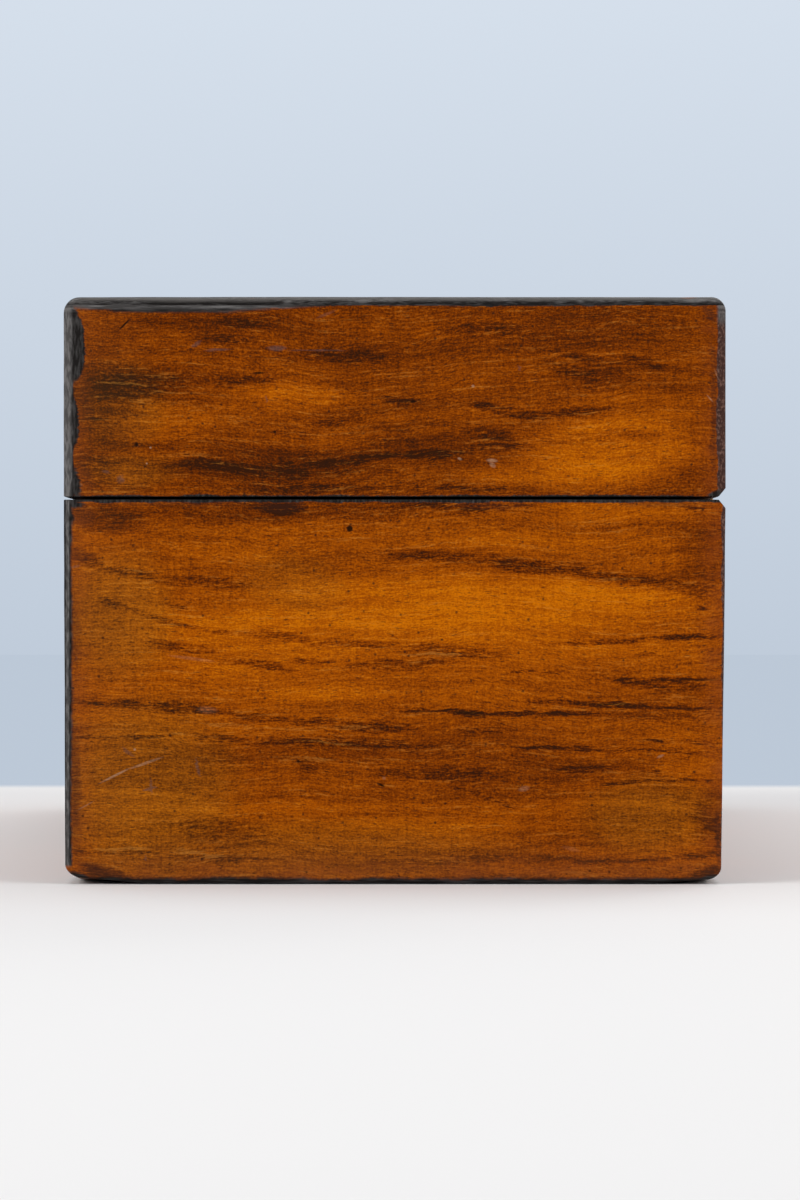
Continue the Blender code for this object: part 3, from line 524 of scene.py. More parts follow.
def cut_piece(name, node, material, body, chamfered=False, hollows=(), **limits):
    """Cuts out the piece between limits: (low, high) for an axis, with None for no cut."""
    bm = block.copy()
    for axis, (low, high) in limits.items():
        if low is not None:
            slice_off(bm, AXES[axis] * low, -AXES[axis])
        if high is not None:
            slice_off(bm, AXES[axis] * high, AXES[axis])
    if chamfered:
        chamfer_off(bm, body)
    ease(bm, RIM_EASE, lies_at("z", BASE_RIM if body == "base" else LID_RIM, RIM_NEAR))
    if hollows:
        bm = combined("DIFFERENCE", bm, *hollows)
    add_piece(bm, name, material, body, node)


# %% [markdown]
# ## Node groups for the finishes
#
# Several finishes share the same effects, so each effect is a node group with named inputs and
# outputs. The first one measures how far a point lies from the box's arrises, in millimetres. Black
# stain, dirt and wear all follow those distances.

# %% A group that measures the distance to the arrises
ORIGIN = (0.0, 0.0, 0.0)


def node_group(name, build, labels, **usual):
    """A group whose inputs have usual values. What build makes of them gets the labels."""
    tree = bpy.data.node_groups.new(name, "ShaderNodeTree")
    for label, value in {"Place": ORIGIN, **usual}.items():
        kind = "NodeSocketVector" if value == ORIGIN else "NodeSocketFloat"
        tree.interface.new_socket(label, in_out="INPUT", socket_type=kind).default_value = value
    for label in labels:
        tree.interface.new_socket(label, in_out="OUTPUT", socket_type="NodeSocketFloat")
    given = outputs(tree.nodes.new("NodeGroupInput"))
    results = build(given["Place"], *(given[label] for label in usual))
    fill(tree.nodes.new("NodeGroupOutput"), zip(labels, results))
    return tree


def arris_gaps(place):
    return [gap * (1 / MM) for gap in face_gaps(*place.parts().values())]


GAPS = node_group("arris gaps", arris_gaps, ["End", "Side", "Top", "Foot"])

# %% [markdown]
# Walnut figure is noise seen through stretched coordinates: long along the grain and short across
# it. Broad bands, narrower stripes and the fine grain are the same noise at several sizes. A slow
# wave bends the lot. Pores are short dark dashes, and specks are the small dark dots that old
# polish leaves in the odd larger pore.

# %% The walnut figure
GRAIN_LAYERS = {
    "stripes": ((0.035, 0.55, 0.05), 3.0, 0.20),
    "threads": ((0.36, 2.4, 0.30), 3.0, 0.25),
    "grain": ((1.20, 4.8, 0.80), 2.0, 0.28),
    "hatch": ((2.4, 0.24, 0.30), 2.0, 0.12),
    "flicker": ((2.8, 3.0, 2.40), 2.0, 0.34),
    "lines": ((0.09, 2.6, 0.10), 3.0, 0.12),
}
RUFFLE = 0.8
SPECK_CELLS, SPECK_SIZE, SPECK_EDGE = 0.42, 0.06, 0.12
SPECKLESS_SHARE = 0.28


def walnut_figure(place, seed, bands, level, wave):
    place = place.moved(vector(place.tree, seed, seed, seed))
    ruffle = place.noise(0.10)
    bend = place.noise((0.022, 0.02, 0.02), 1.0) * wave + ruffle * RUFFLE
    bent = place.moved(vector(place.tree, 0.0, bend))
    tone = (bent.noise((0.016, 0.10, 0.02)) - 0.5) * bands + level
    layers = {}
    for label, (stretch, detail, share) in GRAIN_LAYERS.items():
        layers[label] = bent.noise(stretch, detail)
        tone = (layers[label] - 0.5) * share + tone
    fibres = layers["grain"] * 0.5 + layers["threads"] * 0.5
    clusters = bent.noise((0.014, 0.26, 0.03)).ranged(0.60, 0.95)
    dashes = bent.noise((0.75, 5.5, 1.0), 1.0).ranged(0.82, 0.97)
    cells = outputs(put(place.tree, "TexVoronoi", {"Vector": place, "Scale": SPECK_CELLS}))
    chosen = made(place.tree, "SeparateColor", {0: cells["Color"]}) > SPECKLESS_SHARE
    specks = cells["Distance"].ranged(SPECK_EDGE, SPECK_SIZE) * chosen
    pores = highest(dashes, specks)
    relief = layers["grain"] * 0.25 + ruffle * 0.5 - pores * 0.6
    return tone, fibres, layers["lines"], clusters, pores, relief


LABELS = ["Tone", "Fibres", "Lines", "Clusters", "Pores", "Relief"]
FIGURE = node_group("figure", walnut_figure, LABELS, Seed=0.0, Bands=0.3, Level=0.5, Wave=7.0)

# %% [markdown]
# Black edging on such a box is partly strips of stained wood and partly black stain that has run
# onto the veneer, so its inner border wanders. The group below makes that border: a point is black
# where its distance from the arris is less than a width that noise varies.

# %% The border of the black edging
def black_border(place, gap, width, stray, soft):
    wander = (place.noise(1.1) * 0.35 + place.noise(0.16) * 0.8 - 0.45) * stray
    return [(width + wander - gap).ranged(soft * -1.0, soft, smooth=True)]


BORDER = node_group("border", black_border, ["Mask"], Gap=10.0, Width=1.5, Stray=0.5, Soft=0.1)

# %% [markdown]
# ## Marks on the end
#
# The end's own figure is what makes this box this box: dark streaks, an amber band, a pin hole, a
# dent or two. Each is a lens-shaped spot. Two dot products say how far a point lies along the lens
# and across it, each as a share of the lens, and the sum of their squares is below one inside it. A
# third coordinate that is always one lets the dot product move the middle as well. Every spot is
# placed by the pixels it covers in the photograph: where it starts, where it ends, half its width,
# and its strength.

# %% Spots placed by the photograph
def lens_mask(place, inner, along, across):
    reach = 0.0
    for weights in (along, across):
        dotted = {0: place, 1: weights}
        share = made(place.tree, "VectorMath", dotted, "Value", operation="DOT_PRODUCT")
        reach = share.maths("MULTIPLY_ADD", share, reach)
    return [reach.ranged(1.0, inner, smooth=True)]


LENS = node_group("lens", lens_mask, ["Mask"], Inner=0.0, Along=ORIGIN, Across=ORIGIN)


def spot(place, x0, y0, x1, y1, half_width, soft, stretch):
    """Mask of a lens-shaped spot between two pixels, soft to its middle or only at its edge."""
    start, end = Vector(on_end(x0, y0)) / MM, Vector(on_end(x1, y1)) / MM
    along = (end - start).normalized()
    half_length = (end - start).length / 2 * stretch
    sizes = (along, half_length), (along.orthogonal(), half_width * PIXEL / MM)
    middle = (start + end) / 2
    weights = [(*(axis / half), -axis.dot(middle) / half) for axis, half in sizes]
    return place.through(LENS, Inner=(1.0 - soft) ** 2, Along=weights[0], Across=weights[1])["Mask"]


TONE_PATCHES = {
    "amber on the lid": [
        (225, 392, 370, 398, 24, 0.24), (85, 428, 240, 420, 22, 0.16),
        (200, 408, 300, 410, 14, 0.10), (500, 452, 735, 440, 40, 0.34),
        (430, 474, 700, 474, 20, 0.20), (560, 400, 740, 405, 18, 0.10),
        (300, 440, 400, 436, 14, 0.12),
    ],
    "brown on the lid": [
        (120, 470, 420, 462, 26, -0.22), (320, 440, 500, 452, 22, -0.16),
        (470, 330, 720, 325, 26, -0.10), (545, 375, 650, 372, 22, -0.14),
        (70, 385, 210, 380, 18, -0.18), (60, 322, 310, 320, 20, -0.15),
        (50, 400, 150, 400, 80, -0.14), (300, 356, 400, 358, 12, -0.12),
    ],
    "amber on the base": [
        (180, 598, 760, 606, 36, 0.26), (380, 600, 700, 596, 22, 0.08),
        (90, 615, 360, 622, 22, 0.14), (60, 645, 760, 652, 44, 0.16),
        (110, 676, 300, 680, 14, 0.14), (230, 692, 420, 690, 12, 0.16),
        (520, 512, 700, 512, 16, 0.18), (420, 545, 700, 540, 20, 0.12),
        (150, 552, 300, 556, 16, 0.10), (640, 772, 740, 768, 14, 0.16),
        (180, 835, 560, 838, 26, 0.12),
    ],
    "brown on the base": [
        (60, 510, 500, 508, 18, -0.28), (70, 520, 150, 518, 22, -0.26),
        (660, 550, 750, 550, 44, -0.18), (380, 770, 640, 768, 26, -0.06),
        (60, 768, 740, 765, 44, -0.10), (60, 852, 740, 852, 28, -0.08),
        (690, 815, 740, 825, 40, -0.14),
    ],
}
STREAK_REACH = 1.35
STREAKS = {
    "long streak low on the lid": [
        (180, 464, 262, 470, 8, 0.55), (262, 470, 305, 474, 11, 0.50),
        (300, 466, 368, 461, 6, 0.65), (352, 457, 412, 455, 4, 0.72), (395, 455, 472, 452, 6, 0.66),
        (465, 448, 540, 446, 6, 0.40),
    ],
    "foot of the lid": [
        (240, 489, 420, 490, 7, 0.50), (395, 486, 520, 488, 4, 0.45), (74, 462, 118, 472, 20, 0.32),
    ],
    "middle of the lid": [
        (378, 398, 422, 401, 5, 0.65), (465, 404, 515, 412, 6, 0.55), (500, 413, 545, 418, 5, 0.65),
        (540, 415, 612, 408, 5, 0.45), (465, 430, 512, 438, 9, 0.50), (310, 424, 360, 420, 6, 0.35),
        (215, 381, 280, 379, 5, 0.50), (550, 440, 660, 432, 8, 0.35),
    ],
    "top of the lid": [
        (300, 355, 402, 360, 10, 0.28), (195, 337, 255, 340, 7, 0.40),
        (220, 322, 258, 326, 7, 0.32), (440, 330, 520, 328, 10, 0.36),
        (545, 362, 600, 378, 10, 0.34), (555, 351, 602, 357, 5, 0.42),
        (625, 358, 668, 366, 7, 0.38),
    ],
    "left of the lid": [
        (90, 378, 160, 392, 12, 0.24), (84, 398, 150, 396, 7, 0.22), (84, 419, 106, 419, 2, 0.60),
    ],
    "upper left of the base": [
        (72, 556, 102, 563, 8, 0.50), (98, 567, 168, 579, 6, 0.45), (150, 578, 265, 586, 7, 0.42),
        (98, 599, 140, 612, 4, 0.50), (168, 603, 192, 609, 2, 0.50),
    ],
    "streak left of the middle": [
        (138, 616, 202, 627, 4, 0.70), (190, 626, 266, 636, 4, 0.50), (245, 633, 325, 642, 7, 0.50),
        (300, 642, 425, 646, 6, 0.50), (395, 645, 482, 651, 5, 0.62), (395, 651, 505, 655, 8, 0.50),
    ],
    "streak under it": [
        (145, 643, 218, 650, 7, 0.50), (222, 662, 294, 669, 7, 0.62), (290, 660, 332, 662, 4, 0.65),
        (345, 665, 450, 663, 7, 0.60),
    ],
    "arch": [
        (380, 553, 480, 561, 8, 0.46), (480, 560, 578, 572, 9, 0.60), (555, 566, 630, 578, 9, 0.50),
        (610, 574, 672, 584, 9, 0.50), (655, 580, 722, 594, 9, 0.45),
    ],
    "right line": [
        (548, 643, 640, 642, 4, 0.62), (605, 643, 662, 638, 3, 0.75), (652, 638, 724, 635, 4, 0.90),
        (630, 655, 662, 655, 3, 0.45), (512, 670, 537, 670, 1.8, 0.70),
        (540, 672, 560, 674, 1.8, 0.60),
    ],
    "lower right line": [
        (610, 682, 652, 682, 6, 0.75), (640, 680, 724, 680, 3, 0.90), (636, 685, 704, 687, 8, 0.50),
    ],
    "left of the lower half": [
        (70, 700, 114, 705, 3, 0.70), (108, 703, 155, 708, 6, 0.50), (148, 706, 228, 712, 8, 0.62),
        (225, 713, 300, 719, 5, 0.55), (290, 721, 346, 722, 5, 0.68), (330, 727, 410, 728, 9, 0.50),
    ],
    "long dark line": [
        (402, 711, 462, 709, 2.6, 0.85), (448, 711, 502, 714, 4, 1.00),
        (488, 713, 592, 715, 3.6, 0.95), (512, 700, 588, 704, 2.6, 0.65),
        (560, 704, 662, 707, 3.6, 1.00), (640, 707, 726, 709, 2.6, 0.80),
        (600, 716, 724, 716, 8, 0.32), (440, 729, 520, 731, 4, 0.42),
    ],
    "second line": [
        (72, 736, 116, 737, 3, 0.70), (108, 736, 176, 735, 3, 0.70), (190, 738, 262, 742, 5, 0.55),
        (250, 738, 345, 742, 7, 0.58), (310, 742, 425, 745, 6, 0.52),
        (512, 747, 562, 748, 2.6, 0.80), (552, 748, 608, 749, 3, 0.70),
        (598, 750, 726, 752, 3, 0.50), (645, 739, 670, 743, 2, 0.75), (688, 741, 724, 743, 3, 0.52),
    ],
    "third line": [
        (385, 771, 500, 776, 10, 0.42), (558, 769, 616, 769, 6, 0.45),
        (294, 765, 316, 768, 8, 0.40), (600, 785, 646, 783, 3, 0.60), (632, 782, 726, 780, 2, 0.50),
        (455, 786, 516, 808, 2, 0.60),
    ],
    "low lines": [
        (162, 824, 282, 838, 16, 0.30), (72, 851, 88, 853, 5, 0.65), (86, 852, 162, 854, 3, 0.50),
        (150, 856, 272, 860, 4, 0.45), (380, 862, 600, 858, 5, 0.35), (568, 861, 692, 858, 3, 0.50),
        (668, 858, 724, 852, 5, 0.62),
    ],
    # The spots along the foot are painted shade under the rounded lower arris.
    "dark foot": [
        (78, 868, 128, 878, 8, 0.85), (120, 880, 300, 882, 8, 0.60), (690, 878, 726, 866, 8, 0.85),
        (718, 815, 722, 862, 5, 0.80), (360, 880, 700, 882, 6, 0.60),
    ],
    "knots": [
        (705, 823, 717, 831, 5, 0.90), (690, 806, 724, 830, 12, 0.35),
        (648, 770, 658, 772, 3, 0.65), (700, 606, 712, 608, 3.4, 0.85),
    ],
    "rim": [
        (258, 507, 304, 510, 7, 0.85), (400, 504, 524, 506, 5, 0.60), (458, 507, 490, 509, 6, 0.75),
        (676, 508, 714, 508, 2, 0.75),
    ],
}
DARK_CUTS = {
    "check in the lid": [(117, 332, 132, 317, 1.3, 0.9)],
    "dash in the lid": [(251, 373.5, 266, 372.5, 1.2, 0.9)],
    "pin hole": [(346.2, 528.6, 353.2, 528.6, 3.7, 0.4)],
    "dots": [
        (296.4, 761.6, 300.2, 761, 2.0, 0.8), (376, 783, 386, 787, 1.6, 0.9),
        (273, 432, 276.5, 432, 1.8, 0.9), (134, 444.5, 139, 444.5, 3.0, 1.0),
        (409, 401.5, 417, 401.5, 1.4, 1.0),
    ],
}
BLUISH_DENTS = {
    "top of the lid": [
        (192, 347, 203, 340, 3.0, 0.75), (263, 348.6, 288, 348.2, 3.4, 0.95),
        (202, 350.5, 234, 349, 1.8, 0.75), (284, 350, 352, 350.5, 1.2, 0.65),
        (313, 319.5, 335, 311, 2.0, 0.45), (518, 364, 522, 372, 1.6, 0.60),
        (265, 395, 266, 404, 1.3, 0.60),
    ],
    "corner of the lid": [(117, 479, 128, 478, 5.0, 0.70), (101, 471, 112, 472, 2.6, 0.65)],
    "plus mark": [(149.5, 777, 153.4, 795, 2.0, 0.85), (142.6, 790, 159, 786.5, 1.8, 0.85)],
    "slanting nick": [(193.5, 757, 200, 779, 2.2, 0.85)],
    "nick beside the scratch": [(123, 745, 136, 758, 2.8, 0.65)],
    "nick low at the left": [(145.6, 854, 146.6, 862, 1.6, 0.70)],
    "base's left edge": [(70, 567, 83, 565, 1.5, 0.60), (74, 662, 78, 655, 1.3, 0.45)],
}
PALE_MARKS = {
    "chip in the lid": [(485, 460, 499, 461, 2.6, 0.80), (489, 462, 496, 468, 3.0, 0.70)],
    "white flecks": [
        (457, 457.5, 462.5, 460, 1.7, 1.0), (471, 386, 475, 386, 1.8, 1.0),
        (149, 447.5, 152, 447.5, 1.4, 1.0), (145.5, 463.5, 148, 463.5, 1.2, 0.9),
        (133, 749.5, 136.4, 749.5, 1.5, 1.0), (69, 476.7, 75, 476.7, 1.4, 0.9),
    ],
    # The pale line down the lid's left strip is a painted highlight of its rounded arris.
    "pale line on the strip": [(71.6, 416, 72.2, 460, 1.6, 0.55), (68, 480, 84, 486, 2.6, 0.40)],
    "scratches at the lid's right": [
        (706, 394, 714, 403, 1.2, 0.55), (714, 368, 719, 380, 1.2, 0.45),
    ],
    "long scratch": [(96, 785, 134, 766, 1.5, 0.75), (126, 770, 166, 756, 1.8, 0.70)],
    "fine scratch": [(74, 812, 96, 800, 0.9, 0.45)],
    "dents in the base": [
        (517, 790, 531, 787.5, 3.4, 0.40), (656, 758, 665, 754.5, 1.8, 0.60),
        (381.6, 778, 386.4, 778, 2.4, 0.30),
    ],
    "rubs in the base": [
        (164, 655, 219, 662, 2.2, 0.22), (194, 709, 220, 711, 4.5, 0.20),
        (560, 846, 582, 852, 3.0, 0.12),
    ],
}
GOLD_THREADS = {
    "lid": [(96, 380, 228, 388, 12, 0.34), (400, 480, 520, 482, 4, 0.35)],
    "base": [
        (84, 849, 162, 849, 2.4, 0.80), (160, 850, 232, 856, 3.0, 0.80),
        (180, 842, 230, 844, 2.4, 0.55), (392, 656, 470, 660, 7, 0.55),
        (130, 722, 420, 730, 4, 0.50), (250, 758, 340, 762, 5, 0.45),
    ],
}
OLIVE_PATCHES = {
    "base": [
        (40, 800, 260, 790, 120, 0.55), (50, 610, 190, 620, 80, 0.45),
        (60, 850, 560, 850, 40, 0.35), (560, 815, 740, 815, 46, 0.45),
        (230, 575, 360, 590, 40, 0.25),
    ],
    "lid": [(60, 400, 180, 410, 60, 0.35), (70, 470, 190, 470, 24, 0.40)],
}
BLEEDS = {
    "lower corners": [
        (70, 862, 140, 882, 9, 0.95), (110, 880, 190, 884, 6, 0.70), (690, 884, 730, 862, 8, 0.80),
        (716, 800, 724, 866, 6, 0.70),
    ],
    "base's left edge": [
        (72, 498, 92, 530, 12, 0.75), (60, 548, 96, 560, 8, 0.75), (70, 560, 76, 690, 9, 0.70),
        (70, 680, 77, 872, 9, 0.90),
    ],
    "rim": [
        (96, 502, 260, 504, 5, 0.50), (250, 505, 310, 509, 7, 0.60), (440, 504, 540, 506, 5, 0.60),
        (600, 505, 720, 506, 4, 0.50),
    ],
    "lid's left edge": [(78, 452, 96, 500, 7, 0.55), (84, 384, 92, 425, 7, 0.40)],
    "lid's right edge": [(712, 310, 717, 500, 5, 0.75), (702, 302, 718, 326, 5, 0.90)],
}
BLACK_BLOTS = {
    "filled chip": [(70, 305, 74, 384, 14.5, 0.12), (70, 388, 72, 452, 8.5, 0.20)],
    "lid's lower corner": [(70, 462, 78, 503, 8.0, 0.45)],
    "top strip's thick end": [(40, 304, 300, 306, 9.0, 0.35), (60, 300, 360, 303, 9.0, 0.35)],
    "base's upper corner": [(62, 504, 86, 505, 5.0, 0.60), (66, 500, 72, 530, 6.0, 0.70)],
    # Black along the foot: painted shadow under the rounded lower arris.
    "base's foot": [(150, 882, 420, 884, 5.0, 0.90)],
    "base's lower corners": [(60, 872, 100, 884, 5.0, 0.70), (690, 884, 726, 874, 4.5, 0.70)],
    "lid's back corner": [(704, 499, 726, 490, 4.5, 0.60), (640, 499, 726, 498, 2.2, 0.70)],
}

# %% [markdown]
# Each table becomes one output of a group. Noise bends its spots by the table's own amount, so that
# none looks drawn, and not at all where a mark is straight and crisp. The spots are added up, or
# the strongest of them counts. A table has its own softness, or its spots' last numbers are their
# softness. Streaks get a little more reach than their pixels say, because a lens is thin at its
# ends.

# %% Gather the spots into one group
MARKINGS = {
    "Tone": (TONE_PATCHES, 1.0, "ADD", 1.0),
    "Olive": (OLIVE_PATCHES, 1.0, "MAXIMUM", 1.0),
    "Streaks": (STREAKS, 0.7, "MAXIMUM", 0.85),
    "Gold": (GOLD_THREADS, 1.0, "MAXIMUM", 0.8),
    "Cuts": (DARK_CUTS, 0.0, "MAXIMUM", None),
    "Blue": (BLUISH_DENTS, 0.35, "MAXIMUM", 1.0),
    "Pale": (PALE_MARKS, 0.0, "MAXIMUM", 1.0),
    "Bleed": (BLEEDS, 0.7, "MAXIMUM", 1.0),
    "Black": (BLACK_BLOTS, 0.35, "MAXIMUM", None),
}
BEND_AMOUNTS = (0.35, 0.7, 1.0)
BEND_ALONG = 2.0
FIBRE_BEND = 0.7


def end_marks(place):
    parts = place.parts()
    flat = vector(place.tree, parts["X"], parts["Y"], 1.0)
    bend = (place.noise((0.35, 2.2, 1.0)) - 0.5) * FIBRE_BEND + place.noise(0.12, 3.0) - 0.5
    stray = vector(place.tree, bend * BEND_ALONG, bend)
    bent = {amount: flat.moved(stray.scaled(amount)) for amount in BEND_AMOUNTS} | {0.0: flat}
    results = []
    for table, amount, operation, softness in MARKINGS.values():
        total = 0.0
        reach = STREAK_REACH if table is STREAKS else 1.0
        for *ends, half_width, strength in sum(table.values(), []):
            soft = strength if softness is None else softness
            mask = spot(bent[amount], *ends, half_width, soft, reach)
            total = (mask if softness is None else mask * strength).maths(operation, total)
        results.append(total)
    return results


MARKS = node_group("marks of the right-hand end", end_marks, list(MARKINGS))
print(sum(len(spots) for table, *_ in MARKINGS.values() for spots in table.values()), "spots")

# %% [markdown]
# ## Polished walnut
#
# The veneer is amber where it is pale and a deep brown where it is dark, with very little blue in
# it anywhere. A colour ramp turns the figure's tone into those colours. Dark streaks, red-brown
# edges, black edging and a paler painted sheen towards the foot are laid over it, and roughness and
# relief follow the same masks: black stain is duller than polish, and a pore is a pit.

# %% Colours of walnut and of its marks
TONES = (
    (0.00, (0.036, 0.010, 0.003)),
    (0.25, (0.120, 0.021, 0.0010)),
    (0.45, (0.228, 0.043, 0.0008)),
    (0.70, (0.390, 0.083, 0.0008)),
    (1.00, (0.600, 0.158, 0.0010)),
)
OLIVE_TONES = (
    (0.00, (0.040, 0.016, 0.005)),
    (0.25, (0.120, 0.037, 0.004)),
    (0.45, (0.230, 0.072, 0.005)),
    (0.70, (0.390, 0.124, 0.006)),
    (1.00, (0.610, 0.215, 0.010)),
)
CORE_BLACK = (0.012, 0.005, 0.002)
PORE_BROWN = (0.030, 0.011, 0.005)
EDGE_PLUM = (0.042, 0.024, 0.021)
PLUM_FLECK = (0.20, 0.115, 0.088)
STAIN_BLACK = (0.014, 0.012, 0.011)
STAIN_GREY = (0.150, 0.140, 0.134)
COATS = {
    "cores": (0.62, CORE_BLACK),
    "gold": (0.36, (0.440, 0.190, 0.030)),
    "edge": (0.58, (0.22, 0.045, 0.008)),
    # painted sheen: a paler colour that stands for the polish's sheen near the foot and the left
    # edge
    "haze": (1.0, (0.33, 0.18, 0.07)),
    "pores": (0.72, PORE_BROWN),
    "blue": (0.80, (0.092, 0.060, 0.052)),
    "pale": (0.62, (0.50, 0.32, 0.19)),
    "bleed": (0.85, (0.048, 0.015, 0.008)),
}
PLUM_SHARE, CUT_SHARE = 0.92, 0.95
STAIN_RELIEF = 0.05 * MM
RIM_UP = BASE_RIM / MM


def ramp(factor, stops):
    node = put(factor.tree, "ValToRGB", {0: factor})
    elements = node.color_ramp.elements
    while len(elements) < len(stops):
        elements.new(0.5)
    for element, (position, colour) in zip(elements, stops):
        element.position = position
        element.color = (*colour, 1)
    return Value(node.outputs[0])


def border(place, gap, width, stray, soft=0.12):
    return place.through(BORDER, Gap=gap, Width=width, Stray=stray, Soft=soft)["Mask"]


def cover(colour, mask, share, paint):
    return (mask * share).mixed(colour, paint)


def finish(describe):
    """Makes a function that describes a finish into one that makes its material.

    It gets the place in millimetres along the grain, across it and into it, and the box's own
    coordinates. It gives the colour, the roughness, the height, the depth in metres of the
    height's full range, the shine, and what else the shader needs.
    """

    def make(name, order, *options):
        material, tree = new_material(name)
        coords = made(tree, "TexCoord", output="Object")
        parts = coords.parts()
        place = vector(tree, *(parts[axis] for axis in order)).scaled(1 / MM)
        colour, roughness, height, relief, shine, *rest = describe(place, coords, *options)
        bump = made(tree, "Bump", {"Height": height, "Distance": relief, "Strength": 1.0})
        inputs = {"Base Color": colour, "Roughness": roughness, "Normal": bump}
        inputs |= {"Specular IOR Level": shine} | dict(*rest)
        fill(tree.nodes["Principled BSDF"], inputs)
        return material

    return make


# %% [markdown]
# A face of walnut is described by its layers: a tone, and a mask for each coat that it has. The
# finish lays the coats over the wood in their order, then the plum-brown edge, the black stain with
# the black bands of painted shade at the parting line and the foot, and the cuts.

# %% Layers of walnut
def streaked(mask, figure):
    """How far a dark streak lowers the tone, fibre by fibre, and the black threads at its core."""
    swing = figure["Fibres"] - 0.5
    drawn = swing * 0.9 + ((figure["Lines"] - 0.5) * 1.1 + mask)
    return {"fall": mask * (swing - 0.46), "cores": drawn.ranged(0.85, 1.45, smooth=True)}


def walnut_layers(place, coords, seed, across, along, width, bands=0.42, level=0.48, wave=7.0):
    """The layers of a face with posts beside one arris and edging of a width along the other."""
    gaps = coords.through(GAPS)
    figure = place.through(FIGURE, Seed=seed, Bands=bands, Level=level, Wave=wave)
    above_rim = gaps["Foot"] - RIM_UP
    edging_line = border(place, gaps[along], width / MM, 0.5)
    # A black band of painted shade along the parting line, and another under the rounded lower
    # arris at the foot.
    rim_shade_line = border(place, abs(above_rim), (above_rim > 0.0) * 0.20 + 0.40, 0.5)
    foot_shade_line = border(place, gaps["Foot"], 0.95, 0.7, soft=0.35)
    edge = highest(gaps[across].ranged(6.0, 1.4, smooth=True), gaps["Foot"].ranged(5.5, 2.2))
    return {
        "place": place,
        "gaps": gaps,
        "figure": figure,
        "tone": figure["Tone"],
        **streaked(figure["Clusters"] * 0.75, figure),
        "edge": edge * place.noise((0.2, 0.6, 0.3), 3.0),
        # painted sheen, paler towards the foot
        "haze": gaps["Foot"].ranged(9.0, 1.0, 0.0, 0.07),
        "olive": place.noise((0.012, 0.03, 0.02)) * 0.5,
        "pores": figure["Pores"],
        "pale": place.noise((0.5, 2.6, 1.0), 3.0).ranged(0.93, 1.0) * 0.25,
        "black": border(place, gaps[across], 1.55, 0.9),
        # lines: the black edging's inner border, and the black bands of painted shade at the
        # parting line and the foot
        "lines": highest(edging_line, rim_shade_line, foot_shade_line),
    }


# %% The finish of walnut
def laid_over(layers):
    """Lays the layers over each other."""
    place, gaps, figure = layers["place"], layers["gaps"], layers["figure"]
    tone = layers["tone"] + layers["fall"]
    colour = layers["olive"].mixed(ramp(tone, TONES), ramp(tone, OLIVE_TONES))
    broken = figure["Fibres"].ranged(0.25, 0.65, 0.45, 0.95)
    for label, (share, paint) in COATS.items():
        if label in layers:
            mask = layers[label] * broken if label in ("blue", "pale") else layers[label]
            colour = cover(colour, mask, share, paint)
    if "plum" in layers:
        flecked = place.noise((2.6, 1.6, 1.2), 4.0).ranged(0.45, 1.05).mixed(EDGE_PLUM, PLUM_FLECK)
        colour = cover(colour, layers["plum"], PLUM_SHARE, flecked)

    # Grey over the black: noise rubbing, plus the rub layer, which on the right-hand end holds
    # painted highlights as well.
    upright = place.noise((2.4, 0.5, 0.8), 4.0).ranged(0.35, 1.05)
    level = place.noise((0.22, 2.6, 0.3), 5.0).ranged(0.35, 1.05)
    level_here = highest(gaps["Top"].ranged(3.2, 2.4), gaps["Foot"].ranged(2.4, 1.6))
    rub = layers.get("rub", 0.0)
    greyed = level_here.between(upright, level) * (rub * 0.85 + 0.35) + rub * 0.45
    # Black stain, together with the black bands of painted shade at the parting line and the foot.
    black = highest(layers["black"], layers["lines"])
    colour = black.mixed(colour, greyed.mixed(STAIN_BLACK, STAIN_GREY))
    height = figure["Relief"] - layers["pale"] * 0.5
    if "cuts" in layers:
        colour = cover(colour, layers["cuts"], CUT_SHARE, CORE_BLACK)
        height = height - layers["cuts"] * 3.0
    dull = figure["Pores"] * 0.15 + (black * 0.12 + 0.28)
    roughness = place.noise((0.05, 0.06, 0.05), 3.0) * 0.08 + dull
    return colour, roughness, height, STAIN_RELIEF, 0.02


@finish
def walnut(*face):
    return laid_over(walnut_layers(*face))


LEFT_WALNUT = walnut("walnut_left_end", "YZX", 61.0, "Side", "Top", END_STRIP)
SIDE_WALNUT = walnut("walnut_long_sides", "XZY", 23.0, "End", "Top", LONG_STRIP)
TOP_WALNUT = walnut("walnut_top", "XYZ", 47.0, "End", "Side", LONG_STRIP)

# %% [markdown]
# The right-hand end has the same layers, with the marks of the photograph over them. Its lid is
# darker than its base. Its black edging is wider at the front. On the lid and along the top arris
# it is rubbed grey, with a painted highlight of the rounded arris over the rubbing, and the grey
# line down the middle of the strip below it is a painted highlight alone. At the back it is plum
# brown, frayed on the lid and hardly more than a line on the base. A painted sheen makes the veneer
# paler towards the left edge. The strips at this end wear the same material, because strip and
# veneer can't be told apart there; their other faces are plain black.

# %% The photographed end
LID_DARKER = -0.13
DEPTH_MM = HALF_DEPTH / MM


def end_rub_and_highlights(across, gaps, left_gap, right_gap, on_lid, other_faces):
    """Where the black edging is grey from rubbing and from painted highlights on its rounded
    arrises, and a worn patch at the lid's back corner.
    """
    # Grey on the lid's left strip and along the top arris: rubbing with a painted highlight over
    # it.
    lid_rub_and_highlight = on_lid * left_gap.ranged(1.75, 1.05, smooth=True)
    thick = across.ranged(-14.0, -18.0, 0.0, 0.7) * gaps["Top"].ranged(2.3, 1.9)
    top_rub_and_highlight = gaps["Top"].ranged(1.3, 0.6, 0.0, 0.95)
    # The grey line down the middle of the base's left strip is a painted highlight of its rounded
    # arris.
    base_highlight_line = abs(left_gap - 0.75).ranged(0.42, 0.12, smooth=True) * 0.85
    corner = gaps["Top"].ranged(5.4, 3.2) * right_gap.ranged(1.8, 1.3)
    rub = highest(lid_rub_and_highlight, top_rub_and_highlight, thick, base_highlight_line, corner) - other_faces
    return rub.maths("MAXIMUM", 0.0), corner


